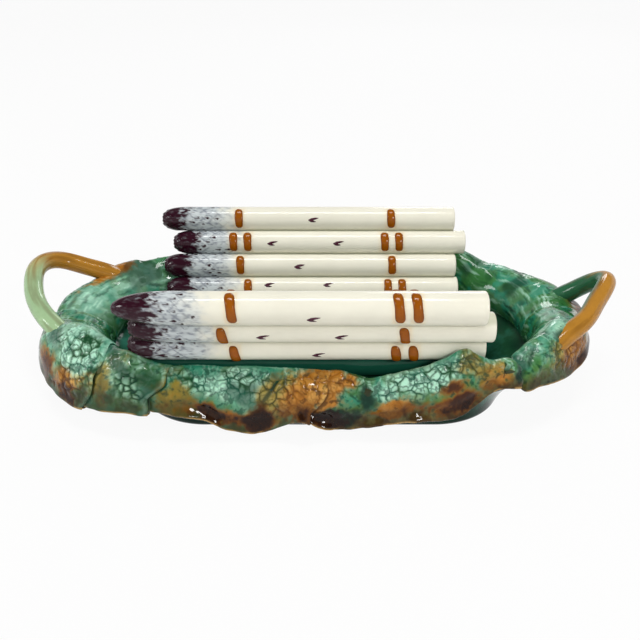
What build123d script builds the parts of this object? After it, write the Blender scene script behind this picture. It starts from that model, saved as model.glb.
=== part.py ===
from build123d import *
import os
from math import cos, radians, sin

# Asparagus plate in glazed earthenware: a leaf-bordered dish with two branch handles, and in it a
# cradle of two leaning walls of asparagus stalks. Each piece is pressed or rolled by itself and
# luted to the next. The origin is the middle of the base on the table, +X runs along the stalks
# towards their cut ends, +Y runs from the low side of the border to the high side, +Z is up.

# Driving dimensions, in millimetres and degrees

# Stalks of the cradle, counted from the top of each wall
STALK_LENGTH = 228.0
STALK_RADIUS = 9.6
TOP_FRONT_EXTRA_RADIUS = 1.0
STALK_PRESS = 0.575
WALL_LEAN = 23.5
BOTTOM_ROW_HALF_SPAN = 57.8
BUD_LENGTH = 21.0
BUD_FULLNESS = 0.67
BUD_BLUNTNESS = 0.78
TOP_FRONT_BUD_LENGTH = 38.0
TOP_FRONT_BUD_BLUNTNESS = 0.52
CUT_END_ROUND = 1.6
FRONT_SLIDES = (-13.0, -5.5, -9.0, -7.5)
BACK_SLIDES = (-9.3, -0.9, -8.1, -6.4)

# Binding straws round the stalks, single or in pairs
STRAW_WIDTH = 6.6
STRAW_HEIGHT = 0.9
STRAW_ARC = 98.0
STRAW_END_CUT = 1.8
TOP_FRONT_STRAW_ARC = 118.0
TOP_FRONT_STRAW_LIFT = 50.0
TOP_FRONT_STRAW_DIP = 8.0
STRAW_STEP = 11.0

# Raised bed that carries the cradle
BED_ABOVE_RIM = 6.8
BED_MARGIN = 4.0
BED_END_INSET = 14.0
BED_CORNER = 12.0
BED_WALL = 5.0

# Basin, which stands on its flat base
RIM_HEIGHT = 28.0
RIM_CORNER = 69.0
BASIN_WALL = 5.0
BASIN_FLOOR = 7.0
CRADLE_GAP = 2.6
END_WELL = 39.0
BASE_CORNER = 48.0
BASE_END_FLARE = 33.0
BASE_SIDE_FLARE = 5.0
BELLY_HEIGHT = 14.0
BELLY_END_FLARE = 22.0
BELLY_SIDE_FLARE = 3.5
BASE_ROUND = 5.0

# Leaves of the border; their roots are slim along the sides and stout round the ends
LEAF_THICKNESS = 5.0
LEAF_EDGE = 3.6
END_ROOT_LAP = 4.0
SIDE_BELLY = 0.5
END_BELLY = 7.0
HOLLOW_SHIFT = 1.5
LIP_ROUND = 1.2
LEAST_BEND = 4.0

# Fullness of a leaf's curves, as shares of the run that each one spans
REACH = 0.55
FOLD = 0.67
DROP = 0.53
LIFT = 0.5

# Branch handles
HANDLE_RADIUS = 6.6
HANDLE_FOOT_RADIUS = 8.2
HANDLE_FOOT_POWER = 4
HANDLE_SECTIONS = 13

# Sizes that follow from the driving dimensions

ROWS = len(FRONT_SLIDES)
STALK_PITCH = 2 * (STALK_RADIUS - STALK_PRESS)
TOP_FRONT_RADIUS = STALK_RADIUS + TOP_FRONT_EXTRA_RADIUS
RIM_WIDTH = 2 * (BOTTOM_ROW_HALF_SPAN + STALK_RADIUS + CRADLE_GAP + BASIN_WALL)
RIM_LENGTH = STALK_LENGTH + 2 * (END_WELL + BASIN_WALL)
BASE_WIDTH = RIM_WIDTH - 2 * BASE_SIDE_FLARE
BASE_LENGTH = RIM_LENGTH - 2 * BASE_END_FLARE
BED_TOP = RIM_HEIGHT + BED_ABOVE_RIM
BED_LENGTH = STALK_LENGTH - 2 * BED_END_INSET
BED_WIDTH = 2 * (BOTTOM_ROW_HALF_SPAN + BED_MARGIN)
BOTTOM_ROW_HEIGHT = BED_TOP + STALK_PITCH / 2
SIDE_ROOT = BASIN_WALL
END_ROOT = BASIN_WALL + END_ROOT_LAP

os.makedirs("parts", exist_ok=True)


def save(piece, name):
    piece.label = name
    export_step(piece, f"parts/{name}.step")


# Basin: a rounded oblong bowl, steep at its long sides and spread at its ends

BASIN_OUTLINES = (
    (0.0, BASE_LENGTH, BASE_WIDTH, BASE_CORNER),
    (
        BELLY_HEIGHT,
        RIM_LENGTH - 2 * BELLY_END_FLARE,
        RIM_WIDTH - 2 * BELLY_SIDE_FLARE,
        (BASE_CORNER + RIM_CORNER) / 2,
    ),
    (RIM_HEIGHT, RIM_LENGTH, RIM_WIDTH, RIM_CORNER),
)

with BuildPart() as basin:
    for height, length, width, corner in BASIN_OUTLINES:
        with BuildSketch(Plane.XY.offset(height)):
            RectangleRounded(length, width, corner)
    loft()
    fillet(basin.edges().group_by(Axis.Z)[0], radius=BASE_ROUND)
    for height, length, width, corner in BASIN_OUTLINES:
        with BuildSketch(Plane.XY.offset(max(height, BASIN_FLOOR))):
            RectangleRounded(length - 2 * BASIN_WALL, width - 2 * BASIN_WALL, corner - BASIN_WALL)
    loft(mode=Mode.SUBTRACT)
save(basin.part, "basin")

# Raised bed: a hollow slab standing on the basin's floor

with BuildPart() as bed:
    with BuildSketch(Plane.XY.offset(BASIN_FLOOR)):
        RectangleRounded(BED_LENGTH, BED_WIDTH, BED_CORNER)
    extrude(amount=BED_TOP - BASIN_FLOOR)
    with BuildSketch(Plane.XY.offset(BASIN_FLOOR)):
        RectangleRounded(BED_LENGTH - 2 * BED_WALL, BED_WIDTH - 2 * BED_WALL, BED_CORNER - BED_WALL)
    extrude(amount=BED_TOP - BASIN_FLOOR - BED_WALL, mode=Mode.SUBTRACT)
save(bed.part, "cradle_bed")

# Stalks: each wall leans outwards, and neighbours meet on a flat midway between them


def wall_up(side):
    """Direction up the wall; side is -1 for the front wall and +1 for the back wall."""
    return Vector(0, side * sin(radians(WALL_LEAN)), cos(radians(WALL_LEAN)))


def stalk_axis_point(side, row):
    """Middle of a stalk's axis line, with row 1 at the top of the wall."""
    bottom = Vector(0, side * BOTTOM_ROW_HALF_SPAN, BOTTOM_ROW_HEIGHT)
    return bottom + wall_up(side) * (STALK_PITCH * (ROWS - row))


def is_top_front(side, row):
    return side < 0 and row == 1


def stalk_radius(side, row):
    return TOP_FRONT_RADIUS if is_top_front(side, row) else STALK_RADIUS


def stalk(side, row, slide):
    """One asparagus stalk along X, bud at -X, with flats towards its neighbours and the bed."""
    middle = stalk_axis_point(side, row)
    radius = stalk_radius(side, row)
    tip = slide - STALK_LENGTH / 2
    cut_end = slide + STALK_LENGTH / 2
    length = TOP_FRONT_BUD_LENGTH if is_top_front(side, row) else BUD_LENGTH
    bluntness = TOP_FRONT_BUD_BLUNTNESS if is_top_front(side, row) else BUD_BLUNTNESS
    shoulder = tip + length
    up = wall_up(side)
    upper_flat = Plane(middle + up * (STALK_PITCH / 2), z_dir=up)
    lower_flat = Plane(middle - up * (STALK_PITCH / 2), z_dir=up)
    with BuildPart() as piece:
        with BuildSketch(Plane(middle, x_dir=(1, 0, 0), z_dir=(0, -1, 0))):
            with BuildLine():
                face = Line((cut_end, 0), (cut_end, radius - CUT_END_ROUND))
                corner = RadiusArc(face @ 1, (cut_end - CUT_END_ROUND, radius), -CUT_END_ROUND)
                body = Line(corner @ 1, (shoulder, radius))
                full = (shoulder - BUD_FULLNESS * length, radius)
                bud = Bezier(body @ 1, full, (tip, bluntness * radius), (tip, 0))
                Line(bud @ 1, face @ 0)
            make_face()
        revolve(axis=Axis(middle, (1, 0, 0)))
        if row > 1:
            split(bisect_by=upper_flat, keep=Keep.BOTTOM)
        if row < ROWS:
            split(bisect_by=lower_flat, keep=Keep.TOP)
        else:
            split(bisect_by=Plane.XY.offset(BED_TOP), keep=Keep.TOP)
    return piece.part


stalks = {}
for side, wall, slides in ((-1, "front", FRONT_SLIDES), (1, "back", BACK_SLIDES)):
    for row, slide in enumerate(slides, start=1):
        stalks[f"{wall}_stalk_{row}"] = stalk(side, row, slide)
for name, piece in stalks.items():
    save(piece, name)

# Binding straws: short dashes that hug the outer and the inner face of each stalk. For each binding,
# the side of the cradle, then the row, the middle along X and the number of straws on each stalk.

BINDINGS = {
    "front_binding_left": (-1, ((1, -53.3, 1), (2, -60.2, 1), (3, -53.8, 1))),
    "front_binding_right": (-1, ((1, 52.7, 2), (2, 52.4, 1), (3, 53.8, 2))),
    "back_binding_left": (1, ((1, -62.8, 1), (2, -61.7, 2), (3, -61.9, 1), (4, -56.0, 1))),
    "back_binding_right": (1, ((1, 55.0, 1), (2, 55.8, 2), (3, 56.0, 1), (4, 58.5, 2))),
}


def straw(side, row, place, face):
    """One straw at a place along the stalk; face is +1 outside the wall and -1 inside it."""
    middle = stalk_axis_point(side, row) + Vector(place, 0, 0)
    radius = stalk_radius(side, row)
    stout = is_top_front(side, row)
    arc = TOP_FRONT_STRAW_ARC if stout and face > 0 else STRAW_ARC
    lift = 0.0
    if stout:
        lift = TOP_FRONT_STRAW_LIFT if face > 0 else -TOP_FRONT_STRAW_DIP
    start = radians(lift - arc / 2)
    up = wall_up(side)
    outward = up.cross(Vector(1, 0, 0)) * (side * face)
    start_radius = outward * cos(start) + up * sin(start)
    with BuildPart() as piece:
        with BuildSketch(Plane(middle, x_dir=(1, 0, 0), z_dir=Vector(1, 0, 0).cross(start_radius))):
            with Locations((0, radius + STRAW_HEIGHT / 2)):
                Rectangle(STRAW_WIDTH, STRAW_HEIGHT)
        revolve(axis=Axis(middle, outward.cross(up)), revolution_arc=arc)
        ends = piece.faces().filter_by(GeomType.PLANE).filter_by(Axis.X, reverse=True)
        chamfer(ends.edges().filter_by(Axis.X, reverse=True), length=STRAW_END_CUT)
    return piece.part


for name, (side, rows) in BINDINGS.items():
    straws = []
    for row, place, count in rows:
        for copy in range(count):
            shift = STRAW_STEP * (copy - (count - 1) / 2)
            for face in (-1, 1) if row < ROWS else (-1,):
                straws.append(straw(side, row, place + shift, face))
    save(Compound(children=straws), name)

# Leaves: folded over the rim, each a loft through sections square to the rim's outline

with BuildLine() as rim:
    front_corner = (RIM_CORNER - RIM_LENGTH / 2, -RIM_WIDTH / 2)
    front_side = Line(front_corner, (RIM_LENGTH / 2 - RIM_CORNER, -RIM_WIDTH / 2))
    front_right = JernArc(front_side @ 1, front_side % 1, RIM_CORNER, 90)
    right_end = Line(front_right @ 1, (RIM_LENGTH / 2, RIM_WIDTH / 2 - RIM_CORNER))
    back_right = JernArc(right_end @ 1, right_end % 1, RIM_CORNER, 90)
    back_side = Line(back_right @ 1, (RIM_CORNER - RIM_LENGTH / 2, RIM_WIDTH / 2))
    back_left = JernArc(back_side @ 1, back_side % 1, RIM_CORNER, 90)
    left_end = Line(back_left @ 1, (-RIM_LENGTH / 2, RIM_CORNER - RIM_WIDTH / 2))
    JernArc(left_end @ 1, left_end % 1, RIM_CORNER, 90)
RIM_LINE = rim.wires()[0]
FRONT_MIDDLE = RIM_LINE.param_at_point(front_side @ 0.5)


def rim_plane(share):
    """Plane square to the rim: x points outwards, y points up, and the origin is on the rim's edge."""
    place = (FRONT_MIDDLE + share / 100) % 1
    point = RIM_LINE.position_at(place)
    outward = RIM_LINE.tangent_at(place).cross(Vector(0, 0, 1))
    return Plane((point.X, point.Y, RIM_HEIGHT), x_dir=outward, z_dir=outward.cross(Vector(0, 0, 1)))


# Each station: place round the rim in hundredths from the middle of the front, counter-clockwise,
# then how far out and how high above the rim the crest lies, then the same for the free edge.
LEAVES = {
    "left_front_leaf": (
        (-24.6, 21, 24, 36, 11),
        (-23.0, 20, 27, 37, 7),
        (-21.4, 13, 32, 36, 0),
        (-19.7, 6, 34, 31, -7),
        (-17.9, 2, 32, 25, -10),
    ),
    "front_left_leaf": (
        (-17.9, 2, 29, 23, -8),
        (-16.5, 4, 31, 19, -8),
        (-15.0, 5, 32, 16, -6),
        (-13.0, -1, 24, 11, -6),
    ),
    "front_middle_leaf": (
        (-13.0, -1, 22, 9, -5),
        (-11.0, -1, 21, 10, -6),
        (-9.1, -2, 21, 9, -10),
        (-7.3, -2, 21, 9, -17),
        (-5.4, -2, 21, 9, -20),
        (-4.0, -1, 21, 8, -18),
        (-2.4, 0, 21, 11, -11),
        (-1.4, 1, 21, 13, -8),
    ),
    "front_right_leaf": (
        (-1.4, 2, 20, 11, -9),
        (0.0, 3, 21, 10, -15),
        (1.7, 4, 21, 8, -18),
        (3.8, 8, 17, 9, -15),
        (6.4, 5, 21, 10, -11),
        (8.3, 4, 24, 10, -10),
        (9.8, 5, 31, 9, -10),
        (11.2, 5, 36, 8, -6),
        (12.2, 6, 32, 7, 1),
        (13.3, 6, 28, 8, 10),
        (14.7, 9, 27, 11, 11),
        (15.2, 10, 22, 11, 10),
    ),
    "right_front_leaf": (
        (15.2, 3, 25, 12, 8),
        (16.8, 2, 30, 13, 6),
        (18.4, 4, 33, 16, 4),
        (20.0, 7, 35, 20, 3),
        (21.6, 9, 35, 26, 8),
        (23.2, 8, 33, 28, 13),
        (24.8, 8, 28, 28, 14),
    ),
    "right_back_leaf": (
        (24.8, 9, 25, 29, 12),
        (26.6, 12, 23, 33, 14),
        (28.4, 14, 25, 37, 14),
        (30.2, 15, 28, 36, 8),
        (32.0, 13, 30, 31, 1),
        (33.4, 10, 31, 28, -2),
        (34.5, 9, 32, 26, -3),
        (35.8, 13, 36, 25, -4),
        (37.2, 15, 39, 24, -4),
    ),
    "back_right_leaf": (
        (37.2, 14, 37, 22, -5),
        (39.5, 10, 32, 18, -10),
        (42.0, 7, 28, 14, -16),
        (45.0, 6, 30, 13, -12),
        (48.0, 5, 26, 12, -17),
        (50.0, 6, 27, 13, -13),
    ),
    "back_left_leaf": (
        (50.0, 6, 25, 12, -15),
        (52.5, 6, 29, 13, -10),
        (55.0, 5, 26, 13, -16),
        (58.0, 7, 29, 15, -14),
        (61.0, 7, 31, 17, -8),
        (63.0, 8, 33, 19, -4),
        (64.8, 9, 34, 21, -2),
    ),
    "left_back_leaf": (
        (64.8, 10, 34, 23, 0),
        (66.2, 13, 34, 27, 2),
        (67.7, 14, 36, 29, 4),
        (69.4, 15, 34, 31, 7),
        (70.9, 19, 30, 33, 10),
        (72.5, 22, 28, 35, 12),
        (74.0, 26, 24, 36, 12),
        (75.4, 28, 19, 36, 11),
    ),
}

# Leaves pressed against the buds of the lowest stalks, which leave their mark in them
LEANING = {
    "front_left_leaf": ("front_stalk_3", "front_stalk_4"),
    "back_left_leaf": ("back_stalk_3", "back_stalk_4"),
    "left_back_leaf": ("back_stalk_4",),
}


def leaf(name):
    """One leaf: its sections rise from the root on the rim to the crest and fold down to the free edge."""
    with BuildPart() as piece:
        for share, crest_out, crest_up, edge_out, edge_up in LEAVES[name]:
            plane = rim_plane(share)
            endwise = plane.x_dir.X**2
            root = SIDE_ROOT + (END_ROOT - SIDE_ROOT) * endwise
            belly = SIDE_BELLY + (END_BELLY - SIDE_BELLY) * endwise
            reach = max(LEAST_BEND, REACH * (crest_out + root))
            fold = max(LEAST_BEND, FOLD * (edge_out - crest_out))
            drop = DROP * (crest_up - edge_up)
            lift = LIFT * crest_up
            outer_edge = edge_out + LEAF_EDGE
            hollow_out = crest_out + HOLLOW_SHIFT
            hollow_up = crest_up - LEAF_THICKNESS
            crest = (crest_out, crest_up)
            edge = (outer_edge, edge_up)
            inner_edge = (edge_out, edge_up)
            hollow = (hollow_out, hollow_up)
            with BuildSketch(plane):
                with BuildLine():
                    inner = Bezier((-root, 0), (-root - belly, lift), (crest_out - reach, crest_up), crest)
                    Bezier(crest, (crest_out + fold, crest_up), (outer_edge, edge_up + drop), edge)
                    ThreePointArc(edge, (edge_out + LEAF_EDGE / 2, edge_up - LIP_ROUND), inner_edge)
                    Bezier(inner_edge, (edge_out, edge_up + drop), (hollow_out + fold, hollow_up), hollow)
                    back = Bezier(hollow, (hollow_out - LEAST_BEND, hollow_up), (-belly, lift), (0, 0))
                    Line(back @ 1, inner @ 0)
                make_face()
        loft()
        for stalk_name in LEANING.get(name, ()):
            add(stalks[stalk_name], mode=Mode.SUBTRACT)
    return piece.part


leaves = {name: leaf(name) for name in LEAVES}
for name, piece in leaves.items():
    save(piece, name)

# Handles: branches that spring from the end leaves. Each point has its place round the rim, as for
# the leaves, then how far out and how high above the rim the middle of the branch lies.

HANDLES = {
    "handle_left": (
        ("left_back_leaf", "left_front_leaf"),
        (
            (-30.6, 17, 30),
            (-29.7, 33, 37),
            (-28.8, 49, 44),
            (-27.6, 53, 46),
            (-26.1, 49, 40),
            (-24.0, 40, 33),
            (-22.3, 25, 23),
        ),
    ),
    "handle_right": (
        ("right_front_leaf", "right_back_leaf"),
        (
            (19.4, 13, 24),
            (20.4, 18, 29),
            (21.8, 25, 33),
            (23.4, 33, 38),
            (25.1, 44, 43),
            (26.2, 48, 43),
            (27.0, 44, 37),
            (27.7, 35, 27),
            (28.3, 25, 18),
        ),
    ),
}


def handle(lapped_by, points):
    """A branch through the points, swelling to a foot at both ends, cut to the leaves it springs from."""
    places = []
    for share, out, up in points:
        plane = rim_plane(share)
        places.append(plane.origin + plane.x_dir * out + plane.y_dir * up)
    with BuildLine() as branch:
        Spline(*places)
    line = branch.edges()[0]
    with BuildPart() as piece:
        for step in range(HANDLE_SECTIONS):
            t = step / (HANDLE_SECTIONS - 1)
            swell = (HANDLE_FOOT_RADIUS - HANDLE_RADIUS) * (2 * t - 1) ** HANDLE_FOOT_POWER
            with BuildSketch(Plane(line @ t, x_dir=Vector(0, 0, 1).cross(line % t), z_dir=line % t)):
                Circle(HANDLE_RADIUS + swell)
        loft()
        for name in lapped_by:
            add(leaves[name], mode=Mode.SUBTRACT)
    return piece.part.solids().sort_by(SortBy.VOLUME)[-1]


for name, (lapped_by, points) in HANDLES.items():
    save(handle(lapped_by, points), name)
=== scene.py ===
"""Glazed finish of the asparagus plate: relief leaves, painted stalks, straws, branches and the stage."""

import math

import bpy
import numpy as np
from bpy.props import FloatProperty, FloatVectorProperty, IntProperty, PointerProperty
from mathutils import Euler, Matrix, Vector


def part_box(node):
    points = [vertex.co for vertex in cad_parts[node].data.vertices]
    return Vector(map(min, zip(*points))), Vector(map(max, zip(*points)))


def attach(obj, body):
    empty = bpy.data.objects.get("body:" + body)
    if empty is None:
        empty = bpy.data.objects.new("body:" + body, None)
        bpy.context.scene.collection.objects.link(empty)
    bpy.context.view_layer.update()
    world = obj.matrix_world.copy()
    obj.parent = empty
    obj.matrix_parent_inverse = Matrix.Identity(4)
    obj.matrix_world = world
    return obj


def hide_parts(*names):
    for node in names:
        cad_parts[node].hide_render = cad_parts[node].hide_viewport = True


bl_info = {
    "name": "Asparagus plate",
    "version": (1, 0, 0),
    "blender": (4, 5, 0),
    "location": "3D View > Sidebar > Plate",
    "description": "Builds the glazed pieces of the asparagus plate round its packed solids",
    "category": "Object",
}

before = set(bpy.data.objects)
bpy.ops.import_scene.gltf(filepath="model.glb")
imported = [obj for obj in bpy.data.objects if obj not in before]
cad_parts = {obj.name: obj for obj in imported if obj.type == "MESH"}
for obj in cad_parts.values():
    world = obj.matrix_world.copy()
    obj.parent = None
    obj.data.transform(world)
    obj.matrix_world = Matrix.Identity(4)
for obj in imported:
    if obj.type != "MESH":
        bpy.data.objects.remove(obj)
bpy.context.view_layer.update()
BODY = "root"
MM = 0.001

# Rim of the basin, which the leaves and branches are placed round
BASIN_LOW, BASIN_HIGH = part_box("basin")
RIM_LENGTH = BASIN_HIGH.x - BASIN_LOW.x
RIM_WIDTH = BASIN_HIGH.y - BASIN_LOW.y
RIM_HEIGHT = BASIN_HIGH.z
RIM_CORNER = 69 * MM
RIM_STEPS = 400

# Sections of a leaf, as in the solids
LEAF_THICKNESS = 5 * MM
LEAF_EDGE = 3.6 * MM
SIDE_ROOT = 5 * MM
END_ROOT = 9 * MM
SIDE_BELLY = 0.5 * MM
END_BELLY = 7 * MM
HOLLOW_SHIFT = 1.5 * MM
LIP_ROUND = 1.2 * MM
LEAST_BEND = 4 * MM
REACH = 0.55
FOLD = 0.67
DROP = 0.53
LIFT = 0.5

# Each station: place round the rim in hundredths from the middle of the front, counter-clockwise,
# then how far out and how high above the rim the crest lies, then the same for the free edge, in mm.
LEAVES = {
    "left_front_leaf": (
        (-24.6, 21, 24, 36, 11),
        (-23.0, 20, 27, 37, 7),
        (-21.4, 13, 32, 36, 0),
        (-19.7, 6, 34, 31, -7),
        (-17.9, 2, 32, 25, -10),
    ),
    "front_left_leaf": (
        (-17.9, 2, 29, 23, -8),
        (-16.5, 4, 31, 19, -8),
        (-15.0, 5, 32, 16, -6),
        (-13.0, -1, 24, 11, -6),
    ),
    "front_middle_leaf": (
        (-13.0, -1, 22, 9, -5),
        (-11.0, -1, 21, 10, -6),
        (-9.1, -2, 21, 9, -10),
        (-7.3, -2, 21, 9, -17),
        (-5.4, -2, 21, 9, -20),
        (-4.0, -1, 21, 8, -18),
        (-2.4, 0, 21, 11, -11),
        (-1.4, 1, 21, 13, -8),
    ),
    "front_right_leaf": (
        (-1.4, 2, 20, 11, -9),
        (0.0, 3, 21, 10, -15),
        (1.7, 4, 21, 8, -18),
        (3.8, 8, 17, 9, -15),
        (6.4, 5, 21, 10, -11),
        (8.3, 4, 24, 10, -10),
        (9.8, 5, 31, 9, -10),
        (11.2, 5, 36, 8, -6),
        (12.2, 6, 32, 7, 1),
        (13.3, 6, 28, 8, 10),
        (14.7, 9, 27, 11, 11),
        (15.2, 10, 22, 11, 10),
    ),
    "right_front_leaf": (
        (15.2, 3, 25, 12, 8),
        (16.8, 2, 30, 13, 6),
        (18.4, 4, 33, 16, 4),
        (20.0, 7, 35, 20, 3),
        (21.6, 9, 35, 26, 8),
        (23.2, 8, 33, 28, 13),
        (24.8, 8, 28, 28, 14),
    ),
    "right_back_leaf": (
        (24.8, 9, 25, 29, 12),
        (26.6, 12, 23, 33, 14),
        (28.4, 14, 25, 37, 14),
        (30.2, 15, 28, 36, 8),
        (32.0, 13, 30, 31, 1),
        (33.4, 10, 31, 28, -2),
        (34.5, 9, 32, 26, -3),
        (35.8, 13, 36, 25, -4),
        (37.2, 15, 39, 24, -4),
    ),
    "back_right_leaf": (
        (37.2, 14, 37, 22, -5),
        (39.5, 10, 32, 18, -10),
        (42.0, 7, 28, 14, -16),
        (45.0, 6, 30, 13, -12),
        (48.0, 5, 26, 12, -17),
        (50.0, 6, 27, 13, -13),
    ),
    "back_left_leaf": (
        (50.0, 6, 25, 12, -15),
        (52.5, 6, 29, 13, -10),
        (55.0, 5, 26, 13, -16),
        (58.0, 7, 29, 15, -14),
        (61.0, 7, 31, 17, -8),
        (63.0, 8, 33, 19, -4),
        (64.8, 9, 34, 21, -2),
    ),
    "left_back_leaf": (
        (64.8, 10, 34, 23, 0),
        (66.2, 13, 34, 27, 2),
        (67.7, 14, 36, 29, 4),
        (69.4, 15, 34, 31, 7),
        (70.9, 19, 30, 33, 10),
        (72.5, 22, 28, 35, 12),
        (74.0, 26, 24, 36, 12),
        (75.4, 28, 19, 36, 11),
    ),
}

# Borders between leaves: place round the rim, the leaf that lies over, the leaf under it, then how far the
# border strays from that place at BORDER_STOPS across the leaf.
BORDER_STOPS = (0.0, 0.5, 0.7, 0.85, 1.0)
BORDERS = (
    (-17.9, "left_front_leaf", "front_left_leaf", (0.4, 1.2, 1.5, 1.2, 0.4)),
    (-13.0, "front_left_leaf", "front_middle_leaf", (1.2, 1.5, 0.9, 0.1, -0.2)),
    (-1.4, "front_middle_leaf", "front_right_leaf", (1.8, 2.4, 1.9, 1.2, 0.5)),
    (15.2, "front_right_leaf", "right_front_leaf", (0.2, -0.2, -0.1, -0.1, 0.0)),
    (24.8, "right_front_leaf", "right_back_leaf", (0.4, 0.8, 0.3, -0.2, -0.6)),
    (37.2, "right_back_leaf", "back_right_leaf", (0.0, 0.6, 0.9, 0.3, -0.5)),
    (50.0, "back_right_leaf", "back_left_leaf", (-0.4, 0.6, 1.0, 0.4, -0.4)),
    (64.8, "left_back_leaf", "back_left_leaf", (0.0, -0.7, -0.9, -0.2, 0.5)),
    (75.4, "left_front_leaf", "left_back_leaf", (0.0, -0.6, -0.8, -0.3, 0.4)),
)
UNDERLAP = 1.2

# How far amber and brown run along the hem of a leaf
HEM_WARMTH = {
    "left_front_leaf": 0.15,
    "front_left_leaf": 0.1,
    "front_middle_leaf": 0.2,
    "front_right_leaf": 0.5,
    "right_front_leaf": 0.3,
}
PLAIN_WARMTH = 0.75

# How far the hem of a leaf curls, where that isn't the whole flare
HEM_CURL = {"left_front_leaf": 0.3, "front_left_leaf": 0.25, "right_front_leaf": 0.55}

# Leaves whose main glaze leans to green
GREENER = {"front_left_leaf": 0.14, "right_front_leaf": 0.12, "right_back_leaf": 0.06}

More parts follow.
